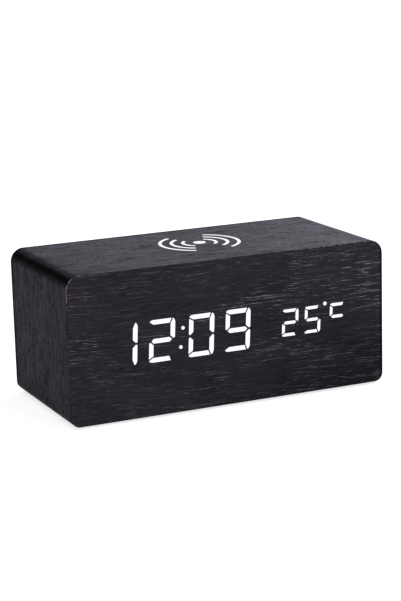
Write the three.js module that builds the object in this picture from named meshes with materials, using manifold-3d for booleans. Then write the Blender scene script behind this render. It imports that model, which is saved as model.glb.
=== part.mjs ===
// A digital alarm clock in a wood-grain block, with a wireless charging pad in its top.
// A bent fibreboard sleeve is wrapped in dark wood-grain film and closed by a front and a rear board.
// White light bars shine through the front film and show the time and the temperature.
// Units are millimetres and +Z is up. The front faces -Y, and the origin lies under the middle of the
// clock, on the surface that it stands on.

import * as THREE from 'three';
import { mergeVertices } from 'three/addons/utils/BufferGeometryUtils.js';
import Module from 'manifold-3d';

const wasm = await Module();
wasm.setup();

// Driving dimensions of the case
const CASE_WIDTH = 150;
const CASE_DEPTH = 70;
const CASE_HEIGHT = 65;
const CORNER_RADIUS = 6;
const LOWER_RADIUS = 4;
const INNER_RADIUS = 1.5;
const FILM = 0.4;
const WALL = 4.55;
const BOARD = 4;
const BOARD_GAP = 0.2;
const REAR_RECESS = 1;
const BOND = 0.05;
const FOOT_HEIGHT = 1;
const FOOT_RADIUS = 5;
const FOOT_EDGE = 0.25;
const FOOT_INSET_X = 13;
const FOOT_INSET_Y = 10;

// Driving dimensions of the screws
const SCREW_RADIUS = 1.2;
const SCREW_GAP = 0.2;
const PAN_RADIUS = 2.3;
const PAN_HEIGHT = 1.5;
const REAR_SCREW_RADIUS = 1.4;
const REAR_SCREW_LENGTH = 14;
const REAR_HEAD_RADIUS = 2.8;
const REAR_HEAD_DEPTH = 1.6;
const REAR_SCREW_RISE = 21;
const CROSS_WIDTH = 0.7;
const CROSS_DEPTH = 1;

// Driving dimensions of the display
const DISPLAY_RISE = 0.4;
const SLANT = Math.tan(THREE.MathUtils.degToRad(3));
const DIGIT_WIDTH = 12.1;
const DIGIT_HEIGHT = 18.7;
const DIGIT_BAR = 2.25;
const DIGIT_PITCH = 17.3;
const COLON_X = -23.5;
const COLON_PITCH = 18.4;
const COLON_RISE = 4.15;
const COLON_RADIUS = 0.95;
const COLON_LEAN = 0.4;
const SMALL_WIDTH = 8.1;
const SMALL_HEIGHT = 12.3;
const SMALL_BAR = 1.6;
const SMALL_PITCH = 11.05;
const SMALL_X = 28.5;
const UNIT_PITCH = 12.45;
const DEGREE_OFFSET = 5.9;
const DEGREE_RISE = 6.4;
const DEGREE_RADIUS = 1;
const BAR_GAP = 0.08;
const BLOCK_MARGIN = 2;
const BLOCK_GAP = 0.25;
const STACK_GAP = 0.1;
const FLANGE = 1.5;
const FLANGE_MARGIN = 2.5;
const FLANGE_RIM = 5.65;
const GUIDE_SHEET = 0.5;
const LED_SIZE = 1.2;
const LED_HEIGHT = 0.8;
const DISPLAY_POST_RADIUS = 2.6;
const DISPLAY_SCREW_X = 55;
const DISPLAY_SCREW_OFFSET = 2.65;
const DISPLAY_SCREW_BITE = 2.6;
const CIRCUIT_BOARD = 1.6;
const CIRCUIT_CORNER = 1;
const SOLDER_GAP = 0.05;
const CHIP_SIZE = 10;
const CHIP_HEIGHT = 1.6;
const CRYSTAL_RADIUS = 1.5;
const CRYSTAL_LENGTH = 8;
const CRYSTAL_OFFSET = 14;

// Driving dimensions of the charger
const CHARGE_X = 3;
const CHARGE_Y = 2.7;
const COIL_TURNS = 7;
const COIL_INNER = 10;
const COIL_PITCH = 1.75;
const COIL_WIRE = 0.6;
const COIL_GAP = 0.15;
const LEAD_BEND = 1.6;
const LEAD_HOLE = 1.1;
const FERRITE_MARGIN = 2;
const FERRITE = 1;
const CARRIER_WIDTH = 62;
const CARRIER_DEPTH = 42;
const CARRIER = 2;
const CHARGER_POST_RADIUS = 3.2;
const CHARGER_POST = 4;
const CHARGER_POST_X = 26;
const CHARGER_POST_Y = 9;
const CHARGER_BOARD_WIDTH = 60;
const CHARGER_BOARD_DEPTH = 26;
const CHARGER_SCREW_BITE = 2.5;
const DRIVER_SIZE = 5;
const DRIVER_HEIGHT = 1;
const INDUCTOR_SIZE = 7;
const INDUCTOR_HEIGHT = 3;
const INDUCTOR_X = -14;
const CAPACITOR_SIZE = 2.2;
const CAPACITOR_X = 10;
const CAPACITOR_PITCH = 4.4;
const CAPACITOR_COUNT = 4;

// Driving dimensions of the rear controls
const CONTROL_RISE = 4;
const BUTTON_RADIUS = 4;
const BUTTON_GAP = 0.25;
const BUTTON_PITCH = 14;
const BUTTON_X = 20;
const BUTTON_PROUD = 0.8;
const BUTTON_TRAVEL = 0.5;
const BUTTON_FLANGE = 1.25;
const BUTTON_LIP = 1.2;
const BUTTON_EDGE = 0.5;
const BRACKET = 1.5;
const RUNNING_GAP = 0.15;
const SWITCH_SIZE = 6;
const SWITCH_HEIGHT = 3.5;
const PLUNGER_RADIUS = 1.75;
const PLUNGER_LENGTH = 2.4;
const CONTROL_WIDTH = 100;
const CONTROL_HEIGHT = 24;
const CONTROL_POST_RADIUS = 2.2;
const CONTROL_POST_INSET = 3.4;
const STAKE_RADIUS = 1;
const STAKE_HEAD = 0.8;
const SOCKET_X = -36;
const SOCKET_WIDTH = 9;
const SOCKET_THICKNESS = 3.3;
const SOCKET_WALL = 0.35;
const SOCKET_FLOOR = 1.2;
const SOCKET_TONGUE = 0.7;
const SOCKET_DEPTH = 3.3;
const PLUG_WIDTH = 13;
const PLUG_THICKNESS = 7.6;
const BUZZER_X = -16;
const BUZZER_RADIUS = 6;
const BUZZER_HEIGHT = 6.6;
const BUZZER_PORT = 1;
const SOUND_HOLE = 0.8;
const SOUND_RING = 3.4;
const SOUND_HOLES = 6;
const MICROPHONE_X = -4.5;
const MICROPHONE_RADIUS = 3;
const MICROPHONE_HEIGHT = 4.5;
const PROBE_X = 44;
const PROBE_RADIUS = 1.6;
const PROBE_HEIGHT = 5.5;
const PROBE_LEG = 0.3;
const VENT_WIDTH = 1.2;
const VENT_HEIGHT = 7;
const VENT_PITCH = 2.6;
const VENT_COUNT = 3;
const BATTEN_WIDTH = 8;
const BATTEN_DEPTH = 12;

// Driving dimensions of the battery bay
const CELL_DIAMETER = 10.5;
const CELL_LENGTH = 44.5;
const NUB_RADIUS = 1.9;
const NUB_LENGTH = 1;
const CELL_EDGE = 0.6;
const CELL_COUNT = 3;
const CELL_GAP = 0.8;
const CELL_SIDE_GAP = 0.5;
const CELL_PLAY = 0.3;
const SPRING_LENGTH = 5;
const SPRING_RADIUS = 2.6;
const SPRING_WIRE = 0.35;
const SPRING_TURNS = 3;
const CONTACT = 0.4;
const CONTACT_GAP = 0.1;
const CONTACT_HEIGHT = 7.2;
const CONTACT_WIDTH = 8;
const TAB_WIDTH = 2.4;
const TAB_RISE = 1.6;
const TAB_GAP = 0.2;
const BOX_WALL = 1.5;
const BOX_GAP = 0.25;
const BOX_FLANGE = 1.5;
const BOX_FLANGE_WIDTH = 5;
const DOOR = 1.8;
const DOOR_INSET = 0.2;
const DOOR_GAP = 0.3;
const LUG_Y = 8;
const LUG_WIDTH = 5;
const LUG_REACH = 1.1;
const LUG_RISE = 0.8;
const LUG_GAP = 0.25;
const LUG_SWING = 1;
const LATCH_WIDTH = 12;
const LATCH_LENGTH = 9;
const LATCH_SLIT = 0.8;
const LATCH_NIB = 0.15;
const GRIP_GROOVE = 0.5;
const GRIP_PITCH = 2;
const GRIP_COUNT = 3;

// Driving dimensions of the inner cables
const LEAD_RADIUS = 0.6;
const LEAD_END_GAP = 0.3;
const LEAD_STRAIGHT = 3;
const LEAD_PAD_X = 6;
const LEAD_PAD_DROP = 9;
const RIBBON_X = -44;
const RIBBON_WIDTH = 12;
const RIBBON_THICKNESS = 0.6;
const RIBBON_SAG = 7;
const HEADER_HEIGHT = 3;
const HEADER_MARGIN = 1;

// How finely round shapes are faceted
const CORNER_STEPS = 8;
const SMALL_CORNER_STEPS = 3;
const ROUND_STEPS = 20;
const SMALL_STEPS = 8;
const DOT_STEPS = 12;
const HELIX_STEPS = 8;
const SPIRAL_STEPS = 24;

// Levels that follow from the driving dimensions
const SHELL = FILM + BOND + WALL;
const INNER_WIDTH = CASE_WIDTH - 2 * SHELL;
const INNER_HEIGHT = CASE_HEIGHT - 2 * SHELL;
const BOARD_WIDTH = INNER_WIDTH - 2 * BOARD_GAP;
const BOARD_HEIGHT = INNER_HEIGHT - 2 * BOARD_GAP;

// Finishes, with colours as they look on the real pieces
function finish(color, roughness, metalness = 0) {
  return new THREE.MeshStandardMaterial({ color, roughness, metalness });
}
const woodFilm = finish(0x2b292d, 0.55);
const fibreboard = finish(0x8a6a48, 0.9);
const lightWhite = finish(0xffffff, 0.4);
const whitePlastic = finish(0xe8e6e0, 0.5);
const blackPlastic = finish(0x1c1c1e, 0.45);
const darkRubber = finish(0x202022, 0.9);
const greenBoard = finish(0x1f5a34, 0.5);
const chipBlack = finish(0x18181a, 0.4);
const steel = finish(0xb9bcc0, 0.35, 1);
const blackSteel = finish(0x2a2a2c, 0.45, 1);
const copper = finish(0xb06a3a, 0.4, 1);
const ferriteGrey = finish(0x3a3a3c, 0.8);
const cellLabel = finish(0x2f5d3a, 0.4, 0.3);
const redWire = finish(0xa02822, 0.5);
const ribbonGrey = finish(0xb0b0b0, 0.6);

// Outlines

// A rectangle with rounded corners; the lower pair may have a radius of their own
function roundedRect(width, height, radius, x = 0, y = 0, steps = SMALL_CORNER_STEPS, lower = radius) {
  const points = [];
  [[1, -1], [1, 1], [-1, 1], [-1, -1]].forEach(([sideX, sideY], corner) => {
    const bend = sideY < 0 ? lower : radius;
    const centreX = x + sideX * (width / 2 - bend);
    const centreY = y + sideY * (height / 2 - bend);
    for (let i = 0; i <= steps; i++) {
      const angle = (Math.PI / 2) * (corner - 1 + i / steps);
      const spoke = new THREE.Vector2(Math.cos(angle), Math.sin(angle));
      points.push(spoke.multiplyScalar(bend).add(new THREE.Vector2(centreX, centreY)));
    }
  });
  return new THREE.Shape(points);
}

// The case seen from the front, drawn in by an inset from its outer face
function caseOutline(inset) {
  const width = CASE_WIDTH - 2 * inset;
  const height = CASE_HEIGHT - 2 * inset;
  return roundedRect(width, height, CORNER_RADIUS - inset, 0, 0, CORNER_STEPS, LOWER_RADIUS - inset);
}

function rect(left, right, bottom, top) {
  return new THREE.Shape([
    new THREE.Vector2(left, bottom),
    new THREE.Vector2(right, bottom),
    new THREE.Vector2(right, top),
    new THREE.Vector2(left, top),
  ]);
}

function disc(radius, x = 0, y = 0, steps = ROUND_STEPS) {
  const points = [];
  for (let i = 0; i < steps; i++) {
    const angle = (2 * Math.PI * i) / steps;
    points.push(new THREE.Vector2(x + radius * Math.cos(angle), y + radius * Math.sin(angle)));
  }
  return new THREE.Shape(points);
}

// Moves each edge of an outline that runs anticlockwise outwards, or inwards if the distance is negative.
function grow(points, distance) {
  return points.map((point, i) => {
    const before = points[(i + points.length - 1) % points.length];
    const after = points[(i + 1) % points.length];
    const first = point.clone().sub(before).normalize();
    const second = after.clone().sub(point).normalize();
    const firstNormal = new THREE.Vector2(first.y, -first.x);
    const secondNormal = new THREE.Vector2(second.y, -second.x);
    const reach = distance / (1 + firstNormal.dot(secondNormal));
    return point.clone().add(firstNormal.add(secondNormal).multiplyScalar(reach));
  });
}

// Solids

const AXES = {
  x: [new THREE.Vector3(0, 1, 0), new THREE.Vector3(0, 0, 1), new THREE.Vector3(1, 0, 0)],
  y: [new THREE.Vector3(1, 0, 0), new THREE.Vector3(0, 0, 1), new THREE.Vector3(0, -1, 0)],
  z: [new THREE.Vector3(1, 0, 0), new THREE.Vector3(0, 1, 0), new THREE.Vector3(0, 0, 1)],
};

// Pulls an outline along an axis. Its own two axes are Y and Z along x, X and Z along y, X and Y along z.
function prism(shape, axis, from, to) {
  const geometry = new THREE.ExtrudeGeometry(shape, {
    depth: to - from,
    bevelEnabled: false,
  });
  geometry.applyMatrix4(new THREE.Matrix4().makeBasis(...AXES[axis]));
  const shift = { x: [from, 0, 0], y: [0, to, 0], z: [0, 0, from] };
  return geometry.translate(...shift[axis]);
}

function box(x0, x1, y0, y1, z0, z1) {
  const geometry = new THREE.BoxGeometry(x1 - x0, y1 - y0, z1 - z0);
  return geometry.translate((x0 + x1) / 2, (y0 + y1) / 2, (z0 + z1) / 2);
}

// Turns a profile of [radius, height] pairs, from its low end to its high end, about an axis.
function turned(profile, axis, steps = ROUND_STEPS) {
  const points = profile.map(([radius, height]) => new THREE.Vector2(radius, height));
  const geometry = new THREE.LatheGeometry(points, steps);
  const turn = { x: [0, 0, -Math.PI / 2], y: [0, 0, 0], z: [Math.PI / 2, 0, 0] };
  const [aboutX, aboutY, aboutZ] = turn[axis];
  return geometry.rotateX(aboutX).rotateY(aboutY).rotateZ(aboutZ);
}

// A round wire of a few sides through a row of points, closed at both ends.
function tube(points, radius, sides) {
  const positions = [];
  const index = [];
  const normal = new THREE.Vector3();
  points.forEach((point, i) => {
    const before = points[Math.max(i - 1, 0)];
    const after = points[Math.min(i + 1, points.length - 1)];
    const along = after.clone().sub(before).normalize();
    if (i === 0) {
      normal.set(0, 0, 1);
      if (Math.abs(along.z) > 0.9) normal.set(1, 0, 0);
    }
    normal.addScaledVector(along, -normal.dot(along)).normalize();
    const side = along.clone().cross(normal);
    for (let k = 0; k < sides; k++) {
      const angle = (2 * Math.PI * k) / sides;
      const spoke = normal.clone().multiplyScalar(Math.cos(angle)).addScaledVector(side, Math.sin(angle));
      positions.push(...point.clone().addScaledVector(spoke, radius).toArray());
    }
  });
  const last = (points.length - 1) * sides;
  for (let i = 0; i < last; i += sides) {
    for (let k = 0; k < sides; k++) {
      const next = (k + 1) % sides;
      index.push(i + k, i + next, i + sides + next, i + k, i + sides + next, i + sides + k);
    }
  }
  for (let k = 1; k < sides - 1; k++) {
    index.push(0, k + 1, k, last, last + k, last + k + 1);
  }
  const geometry = new THREE.BufferGeometry();
  geometry.setAttribute('position', new THREE.Float32BufferAttribute(positions, 3));
  return geometry.setIndex(index);
}

// The least gap that a wire leaves to itself, measured between points that lie apart along it.
function leastGap(points, radius, apart) {
  const along = [0];
  for (let i = 1; i < points.length; i++) along.push(along[i - 1] + points[i].distanceTo(points[i - 1]));
  let least = Infinity;
  points.forEach((point, i) => {
    for (let j = i + 1; j < points.length; j++) {
      if (along[j] - along[i] > apart) least = Math.min(least, point.distanceTo(points[j]) - 2 * radius);
    }
  });
  return least;
}

function solid(geometry) {
  const bare = geometry.clone();
  bare.deleteAttribute('normal');
  bare.deleteAttribute('uv');
  const merged = mergeVertices(bare);
  const vertProperties = new Float32Array(merged.attributes.position.array);
  const triVerts = new Uint32Array(merged.index.array);
  return new wasm.Manifold(new wasm.Mesh({ numProp: 3, vertProperties, triVerts }));
}

function geometryOf(manifold) {
  const mesh = manifold.getMesh();
  const geometry = new THREE.BufferGeometry();
  geometry.setAttribute('position', new THREE.BufferAttribute(new Float32Array(mesh.vertProperties), 3));
  geometry.setIndex(new THREE.BufferAttribute(new Uint32Array(mesh.triVerts), 1));
  const faceted = geometry.toNonIndexed();
  faceted.computeVertexNormals();
  return faceted;
}

function join(geometries) {
  return geometryOf(geometries.map(solid).reduce((whole, piece) => whole.add(piece)));
}

function cut(geometry, tools) {
  return geometryOf(tools.map(solid).reduce((whole, tool) => whole.subtract(tool), solid(geometry)));
}

// An outline pulled along an axis, with other outlines cut right through it
function plate(shape, holes, axis, from, to) {
  return cut(prism(shape, axis, from, to), holes.map((hole) => prism(hole, axis, from - 1, to + 1)));
}

function part(parent, name, geometry, material, x = 0, y = 0, z = 0) {
  const mesh = new THREE.Mesh(geometry, material);
  mesh.name = name;
  mesh.position.set(x, y, z);
  parent.add(mesh);
  return mesh;
}

function group(parent, x, y, z) {
  const made = new THREE.Group();
  made.position.set(x, y, z);
  parent.add(made);
  return made;
}

// The assembly: each group has its own origin on the face of the case that its pieces belong to.
const clock = new THREE.Group();
const middle = FOOT_HEIGHT + CASE_HEIGHT / 2;
const caseGroup = group(clock, 0, 0, middle);
const frontGroup = group(clock, 0, -CASE_DEPTH / 2, middle);
const rearGroup = group(clock, 0, CASE_DEPTH / 2, middle);
const baseGroup = group(clock, 0, 0, FOOT_HEIGHT);
const topGroup = group(clock, CHARGE_X, CHARGE_Y, FOOT_HEIGHT + CASE_HEIGHT);

// Seven-segment characters: the top and bottom bars reach out to the left corners, and the right
// uprights run up and down to the right ones. All outlines run anticlockwise.

function segmentOutlines(width, height, bar) {
  const left = -width / 2;
  const right = width / 2;
  const top = height / 2;
  const upper = {
    a: [
      [right - 0.76 * bar, top],
      [left + 0.6 * bar, top],
      [left + 0.2 * bar, top - 0.15 * bar],
      [left, top - 0.45 * bar],
      [left + 0.9 * bar, top - bar],
      [right - 1.15 * bar, top - bar],
    ],
    b: [
      [right - 0.54 * bar, top],
      [right - 0.7 * bar, top - 0.3 * bar],
      [right - bar, top - bar],
      [right - 1.04 * bar, top - 1.2 * bar],
      [right - 1.04 * bar, 0.75 * bar],
      [right - 0.4 * bar, 0.14 * bar],
      [right - 0.12 * bar, 0.16 * bar],
      [right, 0.35 * bar],
      [right, top - 0.75 * bar],
      [right - 0.25 * bar, top - 0.22 * bar],
    ],
    f: [
      [left, top - 0.63 * bar],
      [left, 0.35 * bar],
      [left + 0.3 * bar, 0.15 * bar],
      [left + bar, 0.75 * bar],
      [left + bar, top - 1.24 * bar],
    ],
    g: [
      [left + 0.45 * bar, 0],
      [left + 0.95 * bar, -0.5 * bar],
      [right - 1.12 * bar, -0.5 * bar],
      [right - 0.6 * bar, 0],
      [right - 1.12 * bar, 0.5 * bar],
      [left + 0.95 * bar, 0.5 * bar],
    ],
  };
  const mirrored = (points) => points.map(([x, z]) => [x, -z]).reverse();
  return { ...upper, c: mirrored(upper.b), d: mirrored(upper.a), e: mirrored(upper.f) };
}

// A character's bars as outlines in the plane of the display, leaning over with the slant.
function character(centre, width, height, bar, segments, lit) {
  const outlines = segmentOutlines(width, height, bar);
  return [...segments].map((letter) => ({
    lit: lit.includes(letter),
    points: outlines[letter].map(([x, z]) => new THREE.Vector2(centre + x + z * SLANT, z)),
  }));
}

function dot(x, z, radius) {
  return { lit: true, points: disc(radius, x + z * SLANT, z, DOT_STEPS).getPoints() };
}

const ALL_BARS = 'abcdefg';
const UNIT_BARS = 'aefg';
const hourUnits = COLON_X - COLON_PITCH / 2;
const minuteTens = COLON_X + COLON_PITCH / 2;
const timeBars = [
  ...character(hourUnits - DIGIT_PITCH, DIGIT_WIDTH, DIGIT_HEIGHT, DIGIT_BAR, ALL_BARS, 'bc'),
  ...character(hourUnits, DIGIT_WIDTH, DIGIT_HEIGHT, DIGIT_BAR, ALL_BARS, 'abdeg'),
  ...character(minuteTens, DIGIT_WIDTH, DIGIT_HEIGHT, DIGIT_BAR, ALL_BARS, 'abcdef'),
  ...character(minuteTens + DIGIT_PITCH, DIGIT_WIDTH, DIGIT_HEIGHT, DIGIT_BAR, ALL_BARS, 'abcdfg'),
  dot(COLON_X + COLON_LEAN, COLON_RISE, COLON_RADIUS),
  dot(COLON_X - COLON_LEAN, -COLON_RISE, COLON_RADIUS),
];
const smallUnits = SMALL_X + SMALL_PITCH;
const temperatureBars = [
  ...character(SMALL_X, SMALL_WIDTH, SMALL_HEIGHT, SMALL_BAR, ALL_BARS, 'abdeg'),
  ...character(smallUnits, SMALL_WIDTH, SMALL_HEIGHT, SMALL_BAR, ALL_BARS, 'acdfg'),
  ...character(smallUnits + UNIT_PITCH, SMALL_WIDTH, SMALL_HEIGHT, SMALL_BAR, UNIT_BARS, 'afg'),
  dot(smallUnits + DEGREE_OFFSET, DEGREE_RISE, DEGREE_RADIUS),
];
const allBars = [...timeBars, ...temperatureBars];

function extent(bars, margin) {
  const bounds = new THREE.Box2();
  bars.forEach((bar) => bar.points.forEach((point) => bounds.expandByPoint(point)));
  return bounds.expandByScalar(margin);
}

function rectOf(bounds, margin = 0) {
  const { min, max } = bounds.clone().expandByScalar(margin);
  return rect(min.x, max.x, min.y, max.y);
}

const timeBlock = extent(timeBars, BLOCK_MARGIN);
const temperatureBlock = extent(temperatureBars, BLOCK_MARGIN);

// Depths behind the face of the front film
const boardFront = FILM + BOND;
const boardBack = boardFront + BOARD;
const blockFront = FILM + STACK_GAP;
const flangeFront = boardBack + STACK_GAP;
const flangeBack = flangeFront + FLANGE;
const sheetFront = flangeBack + STACK_GAP;
const sheetBack = sheetFront + GUIDE_SHEET;
const ledFront = sheetBack + STACK_GAP;
const displayBoardFront = ledFront + LED_HEIGHT;
const displayBoardBack = displayBoardFront + CIRCUIT_BOARD;
const displayWidth = 2 * FLANGE_MARGIN + temperatureBlock.max.x - timeBlock.min.x;
const displayCentre = (temperatureBlock.max.x + timeBlock.min.x) / 2;
const displayHalfHeight = timeBlock.max.y + FLANGE_RIM;
const displayCorners = [[-1, -1], [1, -1], [-1, 1], [1, 1]].map(([sideX, sideZ]) => ({
  x: displayCentre + sideX * DISPLAY_SCREW_X,
  z: sideZ * (timeBlock.max.y + DISPLAY_SCREW_OFFSET),
  name: `${sideZ > 0 ? 'upper' : 'lower'}_${sideX > 0 ? 'right' : 'left'}`,
}));
const displayGroup = group(frontGroup, 0, 0, DISPLAY_RISE);

// Case: a fibreboard sleeve, open at the front and the rear, wrapped in film

const batteryBoxSize = { x: bayLength() + 2 * BOX_WALL, y: bayWidth() + 2 * BOX_WALL };
const coilOuter = COIL_INNER + COIL_TURNS * COIL_PITCH;
const ferriteRadius = coilOuter + COIL_WIRE + FERRITE_MARGIN;
const pocketDepth = 2 * STACK_GAP + FERRITE + 2 * COIL_WIRE + COIL_GAP - BOND;
const chargerPosts = [[-1, -1], [1, 1]].map(([sideX, sideY]) => ({
  x: sideX * CHARGER_POST_X,
  y: sideY * CHARGER_POST_Y,
  name: sideX > 0 ? 'right' : 'left',
}));

function bayLength() {
  return CELL_LENGTH + SPRING_LENGTH + CELL_PLAY + 2 * (CONTACT + CONTACT_GAP);
}

function bayWidth() {
  return CELL_COUNT * CELL_DIAMETER + (CELL_COUNT - 1) * CELL_GAP + 2 * CELL_SIDE_GAP;
}

// The hole in the underside that the battery box fits, from below the case to above its bottom wall
function batteryMouth() {
  const halfX = batteryBoxSize.x / 2 + BOX_GAP;
  const halfY = batteryBoxSize.y / 2 + BOX_GAP;
  const bottom = -CASE_HEIGHT / 2;
  return box(-halfX, halfX, -halfY, halfY, bottom - 1, bottom + SHELL + 1);
}

function makeSleeve() {
  const skin = FILM + BOND;
  const hollow = roundedRect(INNER_WIDTH, INNER_HEIGHT, INNER_RADIUS);
  const sleeve = plate(caseOutline(skin), [hollow], 'y', -CASE_DEPTH / 2 + skin, CASE_DEPTH / 2);
  const ceiling = CASE_HEIGHT / 2 - SHELL;
  const pocket = disc(ferriteRadius + BOX_GAP, CHARGE_X, CHARGE_Y, 2 * ROUND_STEPS);
  const tools = [batteryMouth(), prism(pocket, 'z', ceiling - 1, ceiling + pocketDepth)];
  chargerPosts.forEach(({ x, y }) => {
    const pilot = disc(SCREW_RADIUS + SCREW_GAP, CHARGE_X + x, CHARGE_Y + y, SMALL_STEPS);
    tools.push(prism(pilot, 'z', ceiling - 1, ceiling + CHARGER_SCREW_BITE + SCREW_GAP));
  });
  part(caseGroup, 'case_sleeve', cut(sleeve, tools), fibreboard);
}

function makeCaseFilm() {
  const front = -CASE_DEPTH / 2 + FILM + BOND;
  const wrap = plate(caseOutline(0), [caseOutline(FILM)], 'y', front, CASE_DEPTH / 2);
  part(caseGroup, 'case_film', cut(wrap, [batteryMouth()]), woodFilm);
}

function makeFeet() {
  const foot = turned(
    [
      [0, 0],
      [FOOT_RADIUS - FOOT_EDGE, 0],
      [FOOT_RADIUS, FOOT_EDGE],
      [FOOT_RADIUS, FOOT_HEIGHT - BOND],
      [0, FOOT_HEIGHT - BOND],
    ],
    'z',
  );
  for (const sideX of [-1, 1]) {
    for (const sideY of [-1, 1]) {
      const name = `foot_${sideY < 0 ? 'front' : 'rear'}_${sideX < 0 ? 'left' : 'right'}`;
      const x = sideX * (CASE_WIDTH / 2 - FOOT_INSET_X);
      const y = sideY * (CASE_DEPTH / 2 - FOOT_INSET_Y);
      part(clock, name, foot, darkRubber, x, y, 0);
    }
  }
}

// Front: the film that the light shines through, and the board behind it

function makeFrontFilm() {
  const windows = allBars.filter((bar) => bar.lit).map((bar) => {
    return new THREE.Shape(bar.points.map((point) => new THREE.Vector2(point.x, point.y + DISPLAY_RISE)));
  });
  part(frontGroup, 'front_film', plate(caseOutline(0), windows, 'y', 0, FILM), woodFilm);
}

function makeFrontBoard() {
  const outline = roundedRect(BOARD_WIDTH, BOARD_HEIGHT, INNER_RADIUS, 0, -DISPLAY_RISE);
  const windows = [timeBlock, temperatureBlock].map((block) => rectOf(block, BLOCK_GAP));
  const pilots = displayCorners.map(({ x, z }) => {
    const hole = disc(SCREW_RADIUS + SCREW_GAP, x, z, SMALL_STEPS);
    return prism(hole, 'y', boardBack - DISPLAY_SCREW_BITE - SCREW_GAP, boardBack + 1);
  });
  const panel = plate(outline, windows, 'y', boardFront, boardBack);
  part(displayGroup, 'front_board', cut(panel, pilots), fibreboard);
}

// Display: a white reflector, light guides in its cells and a circuit board of lamps behind them

function displayScrewHoles() {
  return displayCorners.map(({ x, z }) => disc(SCREW_RADIUS + SCREW_GAP, x, z, SMALL_STEPS));
}

// The outline that the reflector's flange and the circuit board behind it share
function displayOutline() {
  const half = displayWidth / 2;
  return rect(displayCentre - half, displayCentre + half, -displayHalfHeight, displayHalfHeight);
}

function makeReflector() {
  const cells = (bars) => bars.map((bar) => new THREE.Shape(bar.points));
  const overlap = FLANGE / 2;
  const pieces = [
    prism(rectOf(timeBlock), 'y', blockFront, flangeFront + overlap),
    prism(rectOf(temperatureBlock), 'y', blockFront, flangeFront + overlap),
    prism(displayOutline(), 'y', flangeFront, flangeBack),
  ];
  displayCorners.forEach(({ x, z }) => {
    const post = disc(DISPLAY_POST_RADIUS, x, z);
    pieces.push(prism(post, 'y', flangeBack - overlap, displayBoardFront - SOLDER_GAP));
  });
  const holes = [...cells(allBars), ...displayScrewHoles()];
  const tools = holes.map((hole) => prism(hole, 'y', 0, displayBoardBack));
  part(displayGroup, 'display_reflector', cut(join(pieces), tools), whitePlastic);
}

// Lit bars come out flush with the film, and dark ones stop behind it.
function makeLightGuide(name, bars, block) {
  const pieces = [prism(rectOf(block, -BLOCK_MARGIN / 2), 'y', sheetFront, sheetBack)];
  bars.forEach(({ points, lit }) => {
    const outline = new THREE.Shape(grow(points, -BAR_GAP));
    pieces.push(prism(outline, 'y', lit ? 0 : blockFront, sheetFront + GUIDE_SHEET / 2));
  });
  part(displayGroup, name, join(pieces), lightWhite);
}

function makeDisplayBoard() {
  const pieces = [plate(displayOutline(), displayScrewHoles(), 'y', displayBoardFront, displayBoardBack)];
  allBars.forEach((bar) => {
    const centre = extent([bar], 0).getCenter(new THREE.Vector2());
    const chip = rect(
      centre.x - LED_SIZE / 2,
      centre.x + LED_SIZE / 2,
      centre.y - LED_SIZE / 2,
      centre.y + LED_SIZE / 2,
    );
    pieces.push(prism(chip, 'y', ledFront, displayBoardFront + CIRCUIT_BOARD / 2));
  });
  const halfHeader = RIBBON_WIDTH / 2 + HEADER_MARGIN;
  const header = rect(RIBBON_X - halfHeader, RIBBON_X + halfHeader, -HEADER_MARGIN, HEADER_MARGIN);
  pieces.push(prism(header, 'y', displayBoardBack - CIRCUIT_BOARD / 2, displayBoardBack + HEADER_HEIGHT));
  part(displayGroup, 'display_board', join(pieces), greenBoard);

  const seat = displayBoardBack + SOLDER_GAP;
  const chip = rect(-CHIP_SIZE / 2, CHIP_SIZE / 2, -CHIP_SIZE / 2, CHIP_SIZE / 2);
  part(displayGroup, 'clock_chip', prism(chip, 'y', seat, seat + CHIP_HEIGHT), chipBlack);
  const crystal = disc(CRYSTAL_RADIUS, CRYSTAL_OFFSET, seat + CRYSTAL_RADIUS);
  const crystalSolid = prism(crystal, 'z', -CRYSTAL_LENGTH / 2, CRYSTAL_LENGTH / 2);
  part(displayGroup, 'quartz_crystal', crystalSolid, steel);
}

// A pan-head screw whose head rests at height 0 and whose shank points down its axis
function panScrew(length) {
  const shoulder = PAN_RADIUS - PAN_HEIGHT / 2;
  return [
    [0, -length],
    [SCREW_RADIUS / 2, -length],
    [SCREW_RADIUS, -length + SCREW_RADIUS],
    [SCREW_RADIUS, 0],
    [PAN_RADIUS, 0],
    [PAN_RADIUS, PAN_HEIGHT / 2],
    [shoulder, PAN_HEIGHT],
    [0, PAN_HEIGHT],
  ];
}

function makeDisplayScrews() {
  const seat = displayBoardBack + SOLDER_GAP;
  const length = seat - (boardBack - DISPLAY_SCREW_BITE);
  const screw = turned(panScrew(length), 'y', SMALL_STEPS);
  displayCorners.forEach(({ x, z, name }) => {
    part(displayGroup, `display_screw_${name}`, screw, steel, x, seat, z);
  });
}

// Charger: a flat spiral coil on a ferrite disc, in a pocket under the top, held up by a carrier

const carrierTop = -SHELL - BOND;
const ferriteBottom = carrierTop + STACK_GAP;
const coilLevel = ferriteBottom + FERRITE + STACK_GAP + COIL_WIRE;
const carrierBottom = carrierTop - CARRIER;
const chargerBoardTop = carrierBottom - CHARGER_POST;
const chargerBoardBottom = chargerBoardTop - CIRCUIT_BOARD;

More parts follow.
